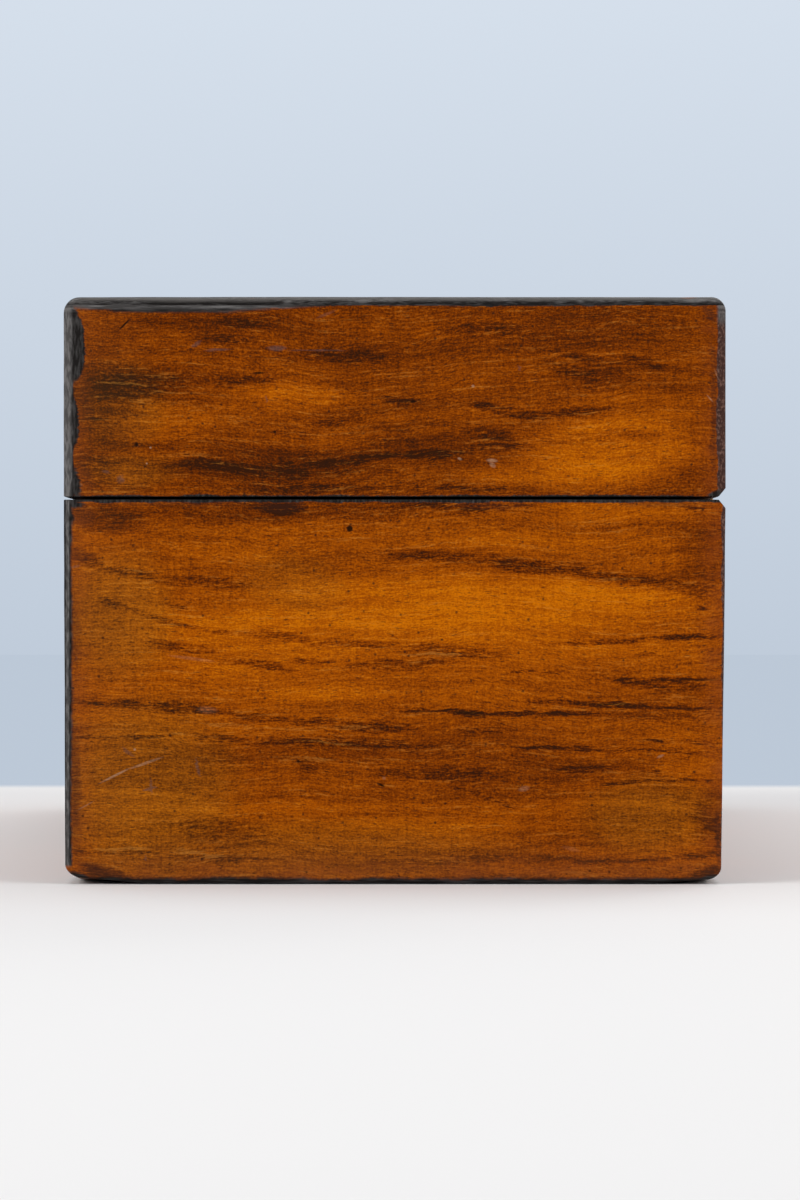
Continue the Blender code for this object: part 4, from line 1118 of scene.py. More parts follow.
@finish
def marked_walnut(place, coords):
    face = 0.0, "Side", "Top", END_STRIP
    layers = walnut_layers(place, coords, *face, bands=0.10, level=0.53, wave=4.0)
    gaps, figure = layers["gaps"], layers["figure"]
    marks = place.through(MARKS)
    across = place.parts()["X"]
    left_gap, right_gap = across + DEPTH_MM, DEPTH_MM - across
    on_lid = gaps["Foot"] > RIM_UP
    other_faces = gaps["End"].ranged(1.0, 1.25)
    rub, corner = end_rub_and_highlights(across, gaps, left_gap, right_gap, on_lid, other_faces)
    left_black = border(place, left_gap, on_lid * 0.30 + 1.45, 0.40, soft=on_lid * -0.20 + 0.32)
    left_black = left_black * gaps["Foot"].ranged(2.7, 3.3)
    gold = marks["Gold"] * 0.7 + (figure["Lines"] * 0.8 + (figure["Fibres"] - 0.9))
    layers |= streaked(marks["Streaks"], figure) | {
        "tone": on_lid * LID_DARKER + (layers["tone"] + marks["Tone"]),
        "gold": gold.ranged(0.15, 0.75, smooth=True),
        "olive": marks["Olive"],
        "blue": marks["Blue"],
        "pale": marks["Pale"],
        "cuts": marks["Cuts"],
        "plum": border(place, right_gap, on_lid * 0.85 + 0.60, 0.60),
        "bleed": marks["Bleed"] * figure["Fibres"].ranged(0.15, 0.60, 1.0, 0.60),
        # painted sheen, also paler towards the left edge
        "haze": highest(layers["haze"], left_gap.ranged(16.0, 2.0, 0.0, 0.04)),
        "black": highest(left_black, marks["Black"], other_faces, corner * 0.8),
        # rub greys the black edging: rubbing and painted highlights together.
        "rub": rub,
    }
    return laid_over(layers)


END_WALNUT = marked_walnut("walnut_right_end", "YZX")

# %% [markdown]
# ## Ebonised strips
#
# Stained wood under polish: black, but greyer and duller where hands and cloths have rubbed it,
# with fine scratches along its length and brown wood showing at the knocks. The grey along the
# rounded arris is partly that rubbing and partly a painted highlight.

# %% Ebonised strip
# Grey of the strips' arrises, which stands for rubbing and a painted highlight together.
ARRIS_GREY = (0.135, 0.122, 0.112)
KNOCK_BROWN = (0.16, 0.07, 0.04)
FOOT_BROWN = (0.10, 0.028, 0.008)


@finish
def ebonised(place, coords, face, other_face, brown_foot=False):
    """Black stained wood, grey from rubbing near the arris between the two faces whose gaps are
    named, with a painted highlight along that arris.
    """
    gaps = coords.through(GAPS)
    rub = place.noise((0.12, 0.9, 0.9), 4.0)
    fine = place.noise((0.8, 6.0, 6.0))
    near = highest(gaps[face], gaps[other_face])
    greyed = (fine * 0.4 + rub * 0.7).ranged(0.45, 0.95, smooth=True)
    worn = greyed * near.ranged(1.2, 0.8, 0.35, 1.0)
    # Grey along the arris: rubbing, with a painted highlight over it.
    arris_wear_and_highlight = ((rub - 0.5) * 0.6 + near).ranged(1.05, 0.25, 0.0, 0.80, smooth=True)
    colour = arris_wear_and_highlight.mixed(worn.mixed(STAIN_BLACK, STAIN_GREY), ARRIS_GREY)
    colour = cover(colour, place.noise((0.25, 0.6, 0.6), 3.0).ranged(0.90, 1.0), 0.7, KNOCK_BROWN)
    if brown_foot:
        colour = border(place, gaps["Foot"], 3.2, 1.0).mixed(colour, FOOT_BROWN)
    return colour, worn * 0.18 + 0.30, rub * 0.6 + fine * 0.3, STAIN_RELIEF, 0.06


POST_BLACK = ebonised("ebonised_posts", "ZXY", "End", "Side", True)
LONG_BLACK = ebonised("ebonised_long_strips", "XYZ", "Side", "Top")
END_BLACK = ebonised("ebonised_end_strips", "YXZ", "End", "Top")

# %% [markdown]
# ## Solids that are joined or cut
#
# Metal fittings are easiest to think of as bars and rods that are joined and drilled. A Boolean
# modifier does that, and is applied at once, so that no cutter stays behind in the scene.

# %% Bars, rods and Booleans
ROD_SIDES = 40


def with_modifiers(source):
    """The mesh of an object as its modifiers leave it."""
    bm = bmesh.new()
    bm.from_object(source, bpy.context.evaluated_depsgraph_get())
    return bm


def bar(low, high):
    """A block between two corners."""
    bm = bmesh.new()
    bmesh.ops.create_cube(bm, size=1)
    bmesh.ops.scale(bm, vec=Vector(high) - Vector(low), verts=bm.verts)
    bmesh.ops.translate(bm, vec=(Vector(high) + Vector(low)) / 2, verts=bm.verts)
    return bm


def rod(start, end, radius, end_radius=None):
    """A round rod from one point to another, which may taper."""
    start, end = Vector(start), Vector(end)
    turn = (end - start).to_track_quat("Z", "Y").to_matrix().to_4x4()
    radii = {"radius1": radius, "radius2": end_radius or radius}
    rules = {"cap_ends": True, "segments": ROD_SIDES, "depth": (end - start).length}
    bm = bmesh.new()
    bmesh.ops.create_cone(bm, matrix=Matrix.Translation((start + end) / 2) @ turn, **radii, **rules)
    return bm


def combined(operation, first, *others):
    """Joins solids to the first one, or cuts them out of it. The meshes given are used up."""
    workpieces = [new_object(bm, "workpiece") for bm in (first, *others)]
    for other in workpieces[1:]:
        modifier = workpieces[0].modifiers.new("cut", "BOOLEAN")
        modifier.operation, modifier.solver, modifier.object = operation, "EXACT", other
    result = with_modifiers(workpieces[0])
    for workpiece in workpieces:
        bpy.data.meshes.remove(workpiece.data)
    return result


# %% [markdown]
# A keyhole is a round hole with a slot below it. The leaf on the front is cut to the outline of the
# brass thread that lines the keyhole, and both back leaves are hollowed where the hinges' knuckles
# roll.

# %% Keyhole and knuckle hollows
keyhole_low, keyhole_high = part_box("keyhole_escutcheon")
THREAD = 1.0 * MM
KEYHOLE_RADIUS = 2.2 * MM
KEYHOLE_SLOT = 2.0 * MM
KEYHOLE_Z = keyhole_high.z - THREAD - KEYHOLE_RADIUS
KEYHOLE_FOOT = keyhole_low.z + THREAD
KNUCKLE_RADIUS = 1.3 * MM
KNUCKLE_PLAY = 0.25 * MM
OVERRUN = 1.0 * MM
HINGE_SPANS = {end: [at.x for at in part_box(f"{end}_hinge_pin")] for end in ("left", "right")}


def keyhole_solid(grow, near, far):
    round_part = rod((0, near, KEYHOLE_Z), (0, far, KEYHOLE_Z), KEYHOLE_RADIUS + grow)
    half_slot = KEYHOLE_SLOT / 2 + grow
    slot = bar((-half_slot, near, KEYHOLE_FOOT - grow), (half_slot, far, KEYHOLE_Z))
    return combined("UNION", round_part, slot)


def along_axis(low, high, radius):
    """A rod on the hinges' own axis."""
    return rod((low, *HINGE_AXIS.yz), (high, *HINGE_AXIS.yz), radius)


def knuckle_hollows():
    radius = KNUCKLE_RADIUS + KNUCKLE_PLAY
    spans = [(low - KNUCKLE_PLAY, high + KNUCKLE_PLAY) for low, high in HINGE_SPANS.values()]
    return [along_axis(*span, radius) for span in spans]


print("keyhole", round(KEYHOLE_Z / MM, 1), "mm above the table")

# %% [markdown]
# ## Mahogany
#
# The case under the veneer is mahogany: plainer and redder than walnut, open in the pore, oiled
# dark by hands along the rims and left dry elsewhere. Walls run their grain along their own length,
# so the end walls need a second material. The underside has the same wood, dulled by dust.

# %% Mahogany for the case
MAHOGANY = (
    (0.00, (0.050, 0.018, 0.008)),
    (0.35, (0.120, 0.040, 0.016)),
    (0.65, (0.200, 0.070, 0.028)),
    (1.00, (0.310, 0.125, 0.055)),
)
HAND_DARK = (0.060, 0.022, 0.011)
DUST_GREY = (0.23, 0.17, 0.13)
OPEN_PORES = 0.09 * MM
DUSTY_INSIDE, DUSTY_BELOW = 0.08, 0.40


@finish
def mahogany(place, coords, seed, dusty):
    figure = place.through(FIGURE, Seed=seed)
    handled = abs(coords.through(GAPS)["Foot"] - RIM_UP).ranged(5.0, 0.6, smooth=True)
    blotch = place.noise((0.05, 0.12, 0.1), 3.0)
    dark = (blotch * 0.5 + 0.5) * handled
    dust = blotch.ranged(0.35, 0.9) * dusty
    colour = cover(ramp(figure["Tone"], MAHOGANY), figure["Pores"], 0.8, PORE_BROWN)
    colour = cover(colour, dark, 0.75, HAND_DARK)
    colour = dust.mixed(colour, DUST_GREY)
    roughness = dust * 0.25 + (dark * -0.22 + 0.58)
    return colour, roughness, figure["Relief"], OPEN_PORES, 0.35


MAHOGANY_ALONG = mahogany("mahogany_along", "XZY", 31.0, DUSTY_INSIDE)
MAHOGANY_ACROSS = mahogany("mahogany_across", "YZX", 77.0, DUSTY_INSIDE)
MAHOGANY_UNDERSIDE = mahogany("mahogany_underside", "XYZ", 13.0, DUSTY_BELOW)

# %% [markdown]
# ## Brass and steel
#
# Old lacquered brass is brown where the lacquer has gone and bright where it is rubbed, in patches
# that noise lays out. Filed steel is grey with fine scratches along it and rust-brown spots.
# Both are metals, so the colour is that of the reflection and the roughness says how old it is.

# %% Brass and steel
SCRATCH_DEPTH = 0.025 * MM


@finish
def metal(place, coords, bright, tarnish, spots, smooth):
    fine = place.noise(1.6, 3.0)
    lines = place.noise((0.5, 9.0, 9.0))
    aged = (fine * 0.45 + place.noise(0.22, 4.0)).ranged(0.45, 1.1, smooth=True)
    spotted = fine.ranged(0.86, 0.99, smooth=True)
    colour = cover(aged.mixed(bright, tarnish), spotted, 0.7, spots)
    dull = aged * 0.22 + (lines * 0.10 + smooth)
    metallic = spotted.ranged(0.0, 1.0, 1.0, 0.75)
    return colour, dull, fine * 0.5 + lines * 0.5, SCRATCH_DEPTH, 0.5, {"Metallic": metallic}


BRASS = metal("brass", "XYZ", (0.56, 0.37, 0.13), (0.27, 0.155, 0.050), (0.055, 0.040, 0.020), 0.28)
STEEL = metal("steel", "XYZ", (0.34, 0.33, 0.32), (0.13, 0.115, 0.10), (0.085, 0.035, 0.015), 0.36)

# %% [markdown]
# ## The outside of the box
#
# Each end, front and back is a leaf of veneer on the base and one on the lid. Between them stand
# the black corner strips, and four more frame the top leaf. The bottom board comes out of the same
# block, because the case leans in at its foot and the board with it.

# %% Cut the outside pieces
ENDS = {"left": -1, "right": 1}
SIDES = {"front": -1, "back": 1}
HALVES = {"base": (None, BASE_RIM), "lid": (LID_RIM, None)}
END_LEAF = {"left": LEFT_WALNUT, "right": END_WALNUT}
END_POST = {"left": POST_BLACK, "right": END_WALNUT}


def within(reach):
    return (-reach, reach)


def beyond(sign, near):
    """Limits that keep what lies beyond a distance on one side of the middle."""
    return (near, None) if sign > 0 else (None, -near)


POST_X, POST_Y = HALF_LENGTH - POST, HALF_DEPTH - POST
MIDDLE_X, MIDDLE_Y = within(POST_X), within(POST_Y)
for half, (foot, rim) in HALVES.items():
    end_z, long_z = ((foot, rim or HEIGHT - strip) for strip in (END_STRIP, LONG_STRIP))
    for end, x_sign in ENDS.items():
        cuts = {"z": end_z, "x": beyond(x_sign, CASE_HALF_LENGTH), "y": MIDDLE_Y}
        cut_piece(f"{half}_{end}_leaf", f"{half}_{end}_veneer", END_LEAF[end], half, **cuts)
    for side, y_sign in SIDES.items():
        at_back = side == "back"
        cuts = {"z": long_z, "y": beyond(y_sign, CASE_HALF_DEPTH), "x": MIDDLE_X}
        hollows = knuckle_hollows() if at_back else []
        if (half, side) == ("base", "front"):
            hollows = [keyhole_solid(THREAD, -HALF_DEPTH - OVERRUN, OVERRUN - CASE_HALF_DEPTH)]
        leaf = f"{half}_{side}_leaf", f"{half}_{side}_veneer"
        cut_piece(*leaf, SIDE_WALNUT, half, at_back, hollows, **cuts)
        for end, x_sign in ENDS.items():
            cuts = {"z": end_z, "x": beyond(x_sign, POST_X), "y": beyond(y_sign, POST_Y)}
            post = f"{half}_{side}_{end}_post", f"{half}_{side}_{end}_strip"
            cut_piece(*post, END_POST[end], half, at_back, **cuts)

# %% [markdown]
# The strips that frame the top and the leaf inside them belong to the lid, and the bottom board to
# the base.

# %% Cut the top and the bottom
long_z, INSIDE_STRIPS = (HEIGHT - LONG_STRIP, None), HALF_DEPTH - LONG_STRIP
for end, x_sign in ENDS.items():
    cuts = {"z": (HEIGHT - END_STRIP, None), "x": beyond(x_sign, POST_X)}
    cut_piece(f"top_{end}_edging", f"lid_top_{end}_strip", END_BLACK, "lid", **cuts)
for side, y_sign in SIDES.items():
    cuts = {"z": long_z, "y": beyond(y_sign, INSIDE_STRIPS), "x": MIDDLE_X}
    cut_piece(f"top_{side}_edging", f"lid_top_{side}_strip", LONG_BLACK, "lid", **cuts)
cuts = {"z": (HEIGHT - TOP_VENEER, None), "x": MIDDLE_X, "y": within(INSIDE_STRIPS)}
cut_piece("top_leaf", "lid_top_veneer", TOP_WALNUT, "lid", **cuts)
cuts = {"z": (None, BOARD_TOP), "x": within(CASE_HALF_LENGTH), "y": within(CASE_HALF_DEPTH)}
cut_piece("underside_board", "bottom_board", MAHOGANY_UNDERSIDE, "base", **cuts)
print("outside pieces cut")

# %% [markdown]
# The walls of the case and the board under the top leaf are right as they are. They stay the solids
# they were packed as, and only get their wood.

# %% Wood for the case's walls
SIDE_WOOD = dict.fromkeys(SIDES, MAHOGANY_ALONG) | dict.fromkeys(ENDS, MAHOGANY_ACROSS)
WOOD = {f"{half}_{side}_wall": wood for half in HALVES for side, wood in SIDE_WOOD.items()}
for node, wood in (WOOD | {"top_board": MAHOGANY_ALONG}).items():
    for material_slot in bpy.data.objects[node].material_slots:
        material_slot.material = wood
print("walls dressed")

# %% [markdown]
# ## Keyhole thread
#
# The lock's only sign outside is a thin brass line round the keyhole, let in flush. It is a
# keyhole's solid with a smaller one cut out of it, and its front edges are rubbed round.

# %% Keyhole thread
EDGE_RUB = 0.12 * MM
outer = keyhole_solid(THREAD, keyhole_low.y, keyhole_high.y)
inner = keyhole_solid(0, keyhole_low.y - OVERRUN, keyhole_high.y + OVERRUN)
thread = combined("DIFFERENCE", outer, inner)
ease(thread, EDGE_RUB, lies_at("y", keyhole_low.y, EDGE_RUB))
add_piece(thread, "keyhole_thread", BRASS, "base", "keyhole_escutcheon")
print("keyhole thread let in")

# %% [markdown]
# ## Hinges
#
# A butt hinge is two leaves whose edges are rolled into knuckles that take turns along one pin. A
# leaf starts as a plate, loses the places of the other leaf's knuckles, gains its own, and is then
# drilled for the pin and countersunk for two screws.

# %% Hinge leaves and pins
KNUCKLES = 5
KNUCKLE_GAP = 0.2 * MM
LEAF = 0.9 * MM
PIN_HOLE = 0.72 * MM
PIN_RADIUS = 0.67 * MM
PIN_EASE = 0.25 * MM
LEAF_EASE = 0.07 * MM
LEAF_WELD = 0.005 * MM
RIMS = {"base": (BASE_RIM, -1), "lid": (LID_RIM, 1)}


def knuckle_spans(low, high, first):
    """Every second knuckle along the hinge, from the first or the second on."""
    step = (high - low) / KNUCKLES
    starts = [low + number * step for number in range(first, KNUCKLES, 2)]
    return [(start + KNUCKLE_GAP / 2, start + step - KNUCKLE_GAP / 2) for start in starts]


def countersink(screw, rim, inward):
    low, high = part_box(screw)
    middle, radius = (low + high) / 2, (high.x - low.x) / 2
    top = (*middle.xy, rim - inward * EDGE_RUB)
    foot = (*middle.xy, rim + inward * (LEAF + EDGE_RUB))
    return rod(top, foot, radius + EDGE_RUB, radius / 2 + EDGE_RUB)


def hinge_leaf(end, half, first):
    low, high = HINGE_SPANS[end]
    rim, inward = RIMS[half]
    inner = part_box(f"{end}_hinge_{half}_leaf")[0].y
    z_low, z_high = sorted((rim, rim + inward * LEAF))
    plate = bar((low, inner, z_low), (high, HINGE_AXIS.y, z_high))
    clear = KNUCKLE_RADIUS + KNUCKLE_PLAY
    others = knuckle_spans(low, high, 1 - first)
    gaps = [along_axis(a - KNUCKLE_GAP, b + KNUCKLE_GAP, clear) for a, b in others]
    knuckles = [along_axis(*span, KNUCKLE_RADIUS) for span in knuckle_spans(low, high, first)]
    leaf = combined("UNION", combined("DIFFERENCE", plate, *gaps), *knuckles)
    holes = [countersink(f"{end}_hinge_{half}_screw_{number}", rim, inward) for number in (1, 2)]
    bore = along_axis(low - OVERRUN, high + OVERRUN, PIN_HOLE)
    leaf = combined("DIFFERENCE", leaf, bore, *holes)
    bmesh.ops.remove_doubles(leaf, verts=leaf.verts, dist=LEAF_WELD)
    ease(leaf, LEAF_EASE)
    name, node = f"{end}_{half}_hinge_leaf", f"{end}_hinge_{half}_leaf"
    add_piece(leaf, name, BRASS, half, node)


for end, span in HINGE_SPANS.items():
    hinge_leaf(end, "base", 0)
    hinge_leaf(end, "lid", 1)
    pin = along_axis(*span, PIN_RADIUS)
    ease(pin, PIN_EASE)
    add_piece(pin, f"{end}_pin", BRASS, "base", f"{end}_hinge_pin")
print("hinge leaves and pins made")

# %% [markdown]
# ## Screws
#
# Hand-filed brass screws: a flat countersunk head with a slot, a shank and a point. The profile is
# spun round, the slot is cut, and each screw is turned by its own angle, as no two were driven to
# the same place.

# %% Screws
SCREW_SLOT = 0.36 * MM
SLOT_DEPTH = 0.4 * MM
SCREW_SIDES = 32
SLOT_TURN = 2.4
SHANK_SHARE = 0.58
HEAD_PROFILE = ((0, 0), (0.96, 0), (1, -0.06), (1, -0.14), (SHANK_SHARE, -0.95))
SHANK_PROFILE = ((1, 0.45), (0.8, 0.88), (0, 1))
FIXINGS = {"base": "lock_{}_screw", "lid": "link_plate_{}_screw"}


def screw_shape(radius, length, slot_angle):
    """A screw with its head at the origin, pointing down."""
    shank = radius * SHANK_SHARE
    profile = [(radius * share, height * MM) for share, height in HEAD_PROFILE]
    profile += [(shank * share, -length * down) for share, down in SHANK_PROFILE]
    bm = bmesh.new()
    points = [bm.verts.new((across, 0, up)) for across, up in profile]
    edges = [bm.edges.new(pair) for pair in zip(points, points[1:])]
    turn = {"axis": AXES["z"], "cent": ORIGIN, "angle": math.tau, "steps": SCREW_SIDES}
    bmesh.ops.spin(bm, geom=points + edges, use_merge=True, **turn)
    bmesh.ops.remove_doubles(bm, verts=bm.verts, dist=WELD)
    bmesh.ops.recalc_face_normals(bm, faces=bm.faces)
    slot = bar((-2 * radius, -SCREW_SLOT / 2, -SLOT_DEPTH), (2 * radius, SCREW_SLOT / 2, OVERRUN))
    slot.transform(Matrix.Rotation(slot_angle, 4, "Z"))
    return combined("DIFFERENCE", bm, slot)


for half, fixing in FIXINGS.items():
    names = [f"{end}_hinge_{half}_screw_{number}" for end in ENDS for number in (1, 2)]
    names += [fixing.format(end) for end in ENDS]
    for number, name in enumerate(names):
        low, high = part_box(name)
        bm = screw_shape((high.x - low.x) / 2, high.z - low.z, SLOT_TURN * number)
        if half == "lid":
            bm.transform(Matrix.Rotation(math.pi, 4, "X"))
        head = low.z if half == "lid" else high.z
        bm.transform(Matrix.Translation((*((low + high) / 2).xy, head)))
        add_piece(bm, f"{name}_turned", BRASS, half, name)
    print(half, len(names), "screws")

# %% [markdown]
# ## Lock
#
# The lock's case, cap, bolt, drill pin and link plate are solids with the right shape but
# knife-sharp edges. Each is copied, its loose triangles are merged, flat faces are joined again,
# and the edges are eased, so that they catch the light as filed metal does.

# %% Lock parts with eased edges
LOCK_EASE = 0.08 * MM
LOCK_WELD = 0.002 * MM
FLAT = math.radians(2)
LOCK_PARTS = {
    "lock_case": (BRASS, "base", "aged_brass"),
    "lock_cap": (BRASS, "base", "aged_brass"),
    "link_plate": (BRASS, "lid", "aged_brass"),
    "lock_bolt": (STEEL, "bolt", "lock_steel"),
    "lock_drill_pin": (STEEL, "base", "lock_steel"),
}
for node, (surface, body, slot) in LOCK_PARTS.items():
    bm = bmesh.new()
    bm.from_mesh(bpy.data.objects[node].data)
    bmesh.ops.remove_doubles(bm, verts=bm.verts, dist=LOCK_WELD)
    bmesh.ops.dissolve_limit(bm, angle_limit=FLAT, verts=bm.verts, edges=bm.edges)
    ease(bm, LOCK_EASE)
    add_piece(bm, f"{node}_filed", surface, body, node)
print("lock parts eased")

# %% [markdown]
# ## Silk
#
# The inside is lined with faded crimson silk. Silk is a fine ribbed weave that shines along its
# ribs, so the bump follows thin waves and the shader gets a little sheen. Time has bleached it
# towards the rims and left a few water marks.

# %% Faded silk
SILK = (0.27, 0.022, 0.035)
SILK_FADED = (0.40, 0.085, 0.075)
SILK_WORN = (0.46, 0.22, 0.15)
SILK_SHADE = (0.06, 0.006, 0.010)
SHEEN_TINT = (1.0, 0.62, 0.55)
RIB = 0.42
RIB_HEIGHT = 0.06 * MM


@finish
def silk(place, coords, seed):
    place = place.moved((seed, seed, seed))
    cloud = place.noise((0.03, 0.04, 0.04), 4.0)
    slub = place.noise((0.12, 2.6, 2.6))
    bend = place.noise(0.1, 1.0) * 0.5
    parts = place.parts()
    weft = ((parts["Y"] + bend) * (math.tau / RIB)).maths("SINE")
    warp = ((parts["X"] + bend) * (2 * math.tau / RIB)).maths("SINE")
    near_rim = abs(coords.through(GAPS)["Foot"] - RIM_UP).ranged(14.0, 1.5, smooth=True)
    colour = (slub * 0.35 + cloud).ranged(0.35, 1.25).mixed(SILK, SILK_FADED)
    colour = (near_rim * cloud).mixed(colour, SILK_WORN)
    colour = (weft * 0.10 + 0.10).mixed(colour, SILK_SHADE)
    height = slub * 0.5 + (place.noise(2.5) * 0.2 + (weft * 0.35 + warp * 0.15))
    sheen = {"Sheen Weight": 0.35, "Sheen Roughness": 0.35, "Sheen Tint": SHEEN_TINT}
    return colour, slub * 0.12 + 0.42, height, RIB_HEIGHT, 0.35, sheen


SILK_WALLS = silk("silk_walls", "XZY", 5.0)
SILK_PADS = silk("silk_pads", "XYZ", 57.0)

# %% [markdown]
# ## Linings
#
# A lining is card bent round inside the walls, with silk pasted over it and turned over the top.
# Seen end on it is a thin upright strip with a rolled head. The strip's profile is drawn step by
# step round the inside of the box: each step pulls the last ring of edges out to its next distance
# from the wall. The silk puckers a little where it was pulled tight, so the inner face is moved by
# noise.

# %% Lining
LINING_CELL = 3 * MM
CARD = 1.1 * MM
ROLL = 0.55 * MM
ROLL_STEPS = 6
INNER_FACE = 0.8 * CARD
PUCKER = 0.10 * MM
PUCKER_SIZES = (6 * MM, 6 * MM, 40 * MM)


def lining_profile(tall):
    """Distances from the wall and heights: up the card's back, over its head, down its face."""
    neck = tall - ROLL
    angles = [math.pi * step / ROLL_STEPS for step in range(1, ROLL_STEPS)]
    head = [(ROLL - ROLL * math.cos(angle), neck + ROLL * math.sin(angle)) for angle in angles]
    rows = max(2, round(neck / LINING_CELL))
    face = [(CARD, neck - neck * row / rows) for row in range(rows + 1)]
    return [(0, 0), (0, neck), *head, *face]


def lining(name, node, body):
    low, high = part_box(node)
    foot, direction = (high.z, -1) if body == "lid" else (low.z, 1)
    profile = lining_profile(high.z - low.z)
    bm = square(2)
    bmesh.ops.delete(bm, geom=bm.faces[:], context="FACES_ONLY")
    for edge in bm.edges[:]:
        length = 2 * (high.x if abs(edge.verts[0].co.y - edge.verts[1].co.y) < 1 else high.y)
        bmesh.ops.subdivide_edges(bm, edges=[edge], cuts=round(length / LINING_CELL))
    ring = bm.edges[:]
    shares = {vert: vert.co.copy() for vert in bm.verts}

    def pull(verts, distance, height):
        for vert in verts:
            x, y = shares[vert].x * (high.x - distance), shares[vert].y * (high.y - distance)
            vert.co = (x, y, foot + direction * height)

    pull(bm.verts[:], *profile[0])
    for distance, height in profile[1:]:
        before = {vert.co.copy().freeze(): shares[vert] for edge in ring for vert in edge.verts}
        pulled = bmesh.ops.extrude_edge_only(bm, edges=ring)["geom"]
        verts, ring = of_type(pulled, bmesh.types.BMVert), of_type(pulled, bmesh.types.BMEdge)
        for vert in verts:
            shares[vert] = before[vert.co.copy().freeze()]
        pull(verts, distance, height)
    bmesh.ops.bridge_loops(bm, edges=[edge for edge in bm.edges if edge.is_boundary])
    bmesh.ops.recalc_face_normals(bm, faces=bm.faces)
    bm.normal_update()
    for vert in bm.verts:
        if max(abs(vert.co.x) - high.x, abs(vert.co.y) - high.y) < -INNER_FACE:
            folded = Vector([value / size for value, size in zip(vert.co, PUCKER_SIZES)])
            vert.co += vert.normal * (PUCKER * (noise.noise(folded) - 0.5))
    add_piece(bm, name, SILK_WALLS, body, node)


lining("base_silk", "base_lining", "base")
lining("lid_silk", "lid_lining", "lid")
print("linings made")

# %% [markdown]
# ## Pads
#
# Pads are bags of silk over wadding. A bag is best made as the real one is: a thin bag, blown up by
# its stuffing until the cloth pulls tight. The bag starts as a flat block, is meshed evenly and
# inflated by a cloth simulation with pressure instead of gravity. No point may move further than
# the space allows.

# %% Stuff a pad
VOXEL = 2.6 * MM
STUFFING_FRAMES = 20
STUFFING_PRESSURE = 4.0
PAD_START = 0.55
PAD_MARGIN = 1.2 * MM


def pad_shape(low, high, seat, direction):
    """A thin, softly crowned block in the lower part of the pad's space."""
    x, y = high.x - PAD_MARGIN, high.y - PAD_MARGIN
    bm = bar((-x, -y, 0), (x, y, (high.z - low.z) * PAD_START))
    ease(bm, PAD_MARGIN)
    bm.transform(Matrix.Translation((0, 0, seat)) @ Matrix.Diagonal((1, 1, direction, 1)))
    bmesh.ops.recalc_face_normals(bm, faces=bm.faces)
    return bm


def meshed_evenly(bm, name):
    """The mesh as a new object, remeshed into even cells."""
    bag = new_object(bm, name)
    remesh = bag.modifiers.new("even mesh", "REMESH")
    remesh.mode, remesh.voxel_size, remesh.adaptivity = "VOXEL", VOXEL, 0
    even = with_modifiers(bag)
    bag.modifiers.clear()
    even.to_mesh(bag.data)
    even.free()
    return bag


def stuff(bag):
    """Inflates the bag and gives its new points."""
    cloth = bag.modifiers.new("stuffing", "CLOTH")
    cloth.settings.use_pressure = True
    cloth.settings.uniform_pressure_force = STUFFING_PRESSURE
    cloth.settings.effector_weights.gravity = 0
    cloth.point_cache.frame_start, cloth.point_cache.frame_end = 1, STUFFING_FRAMES
    for number in range(1, STUFFING_FRAMES + 1):
        bpy.context.scene.frame_set(number)
    swollen = bag.evaluated_get(bpy.context.evaluated_depsgraph_get())
    points = [vert.co.copy() for vert in swollen.data.vertices]
    bag.modifiers.clear()
    bpy.context.scene.frame_set(1)
    return points


# %% [markdown]
# The lid's pad is tufted: threads in a diamond lattice hold it down, with a fold from each thread
# to the next. The folds lie where the sum or the difference of a point's lattice coordinates is
# even, so one short formula gives all of them.

# %% Crown and tufts
TUFT_PITCH_X, TUFT_PITCH_Y = 22.3 * MM, 21.95 * MM
TUFT_DEPTH, FOLD_DEPTH = 2.3 * MM, 0.75 * MM
TUFT_SIZE, FOLD_SIZE = 0.16, 0.07
TUFTS_UP_TO_X, TUFTS_UP_TO_Y = (0.90, 0.08), (0.72, 0.28)


def clamped(value, low=0.0, high=1.0):
    return max(low, min(high, value))


def from_even(value):
    """Distance to the nearest even number."""
    return abs((value + 1) % 2 - 1)


def tuft_depth(x, y, reach):
    a, b = x / TUFT_PITCH_X, y / TUFT_PITCH_Y
    rising, falling = from_even(a + b), from_even(a - b)
    folds = math.exp(-((rising / FOLD_SIZE) ** 2)) + math.exp(-((falling / FOLD_SIZE) ** 2))
    threads = math.exp(-(rising**2 + falling**2) / TUFT_SIZE**2)
    inside = 1.0
    shares = (abs(y) / reach.y, TUFTS_UP_TO_Y), (abs(x) / reach.x, TUFTS_UP_TO_X)
    for share, (start, fade) in shares:
        inside *= 1 - clamped((share - start) / fade)
    return inside * (FOLD_DEPTH * min(1.0, folds) + (TUFT_DEPTH - FOLD_DEPTH) * threads)


def crown(u, v):
    return (1 - abs(u) ** 4) * (1 - abs(v) ** 4)


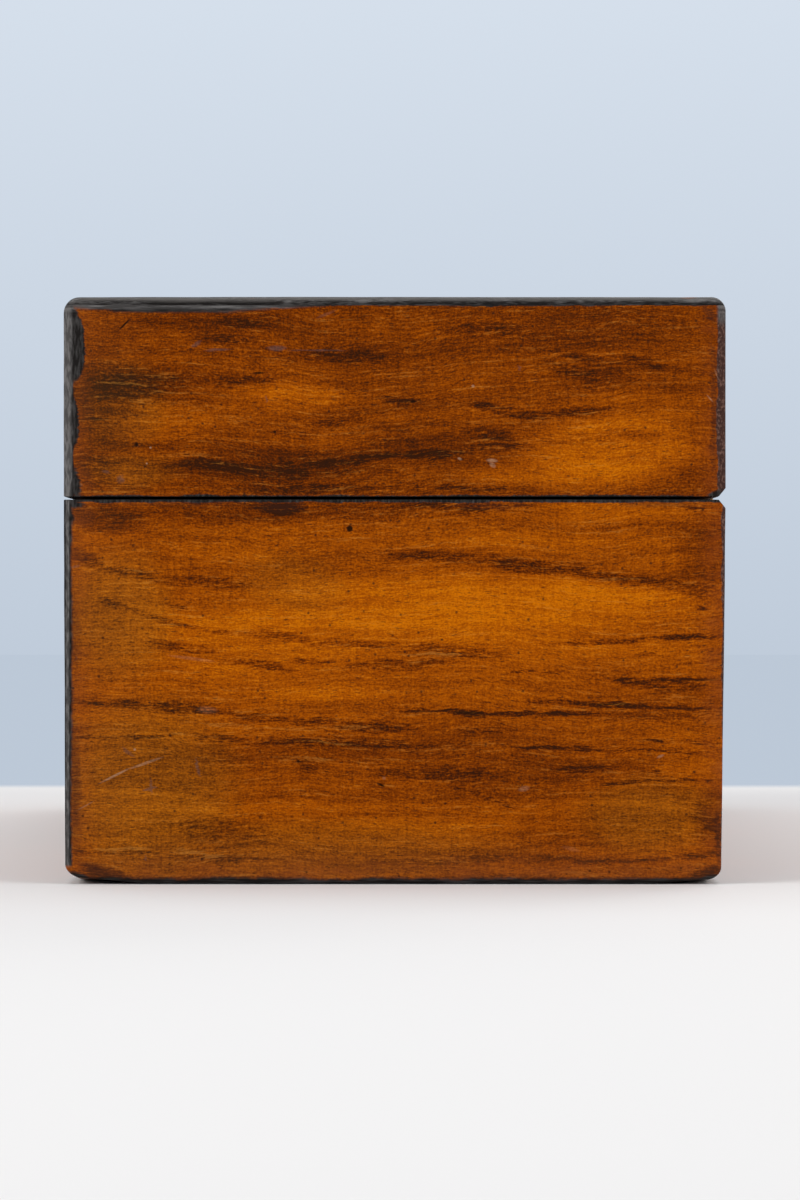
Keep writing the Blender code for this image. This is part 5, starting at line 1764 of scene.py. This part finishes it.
# %% [markdown]
# A pad's points keep a limited share of what the stuffing did to them. The crown, the swelling and
# a few wrinkles lift the upper points and leave the seat flat. The mesh is then refined and
# smoothed, and the tufts are drawn in.

# %% Make both pads
CROWN_SHARE = 0.80
MOST_SHIFT, MOST_SWELL = 0.8 * MM, 0.5 * MM
WRINKLE, WRINKLE_LENGTH = 0.22 * MM, 9 * MM


def make_pad(name, node, body, direction, tufted):
    low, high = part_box(node)
    seat, full = (low.z if direction > 0 else high.z), high.z - low.z
    bag = meshed_evenly(pad_shape(low, high, seat, direction), f"{name}_bag")
    start = [vert.co.copy() for vert in bag.data.vertices]
    swollen = stuff(bag)
    limit = full * (1 - PAD_START)
    bm = bmesh.new()
    bm.from_mesh(bag.data)
    bpy.data.meshes.remove(bag.data)

    def rise_at(place):
        return clamped((place.z - seat) * direction / (full * PAD_START))

    for vert, old, new in zip(bm.verts, start, swollen):
        move = new - old
        swell = max(0.0, move.z * direction) * rise_at(old)
        move.z = 0
        if move.length > MOST_SHIFT:
            move *= MOST_SHIFT / move.length
        wrinkle = WRINKLE * noise.noise(Vector((old.x, old.y, 0)) / WRINKLE_LENGTH)
        crowned = limit * CROWN_SHARE * crown(old.x / high.x, old.y / high.y)
        lift = rise_at(old) * (crowned + min(swell, MOST_SWELL) + wrinkle)
        vert.co = old + move
        vert.co.z += direction * min(lift, limit)
    bmesh.ops.subdivide_edges(bm, edges=bm.edges[:], cuts=1, use_grid_fill=True, smooth=0)
    axes = dict.fromkeys(("use_axis_x", "use_axis_y", "use_axis_z"), True)
    bmesh.ops.smooth_vert(bm, verts=bm.verts[:], factor=0.5, **axes)
    for vert in bm.verts:
        if tufted:
            vert.co.z -= direction * rise_at(vert.co) * tuft_depth(vert.co.x, vert.co.y, high)
        vert.co = [clamped(*bounds) for bounds in zip(vert.co, low, high)]
    pad = add_piece(bm, name, SILK_PADS, body, node, smooth_angle=80)
    print(name, len(pad.data.polygons), "faces")


make_pad("floor_cushion", "floor_pad", "base", 1, False)
make_pad("lid_cushion", "lid_pad", "lid", -1, True)
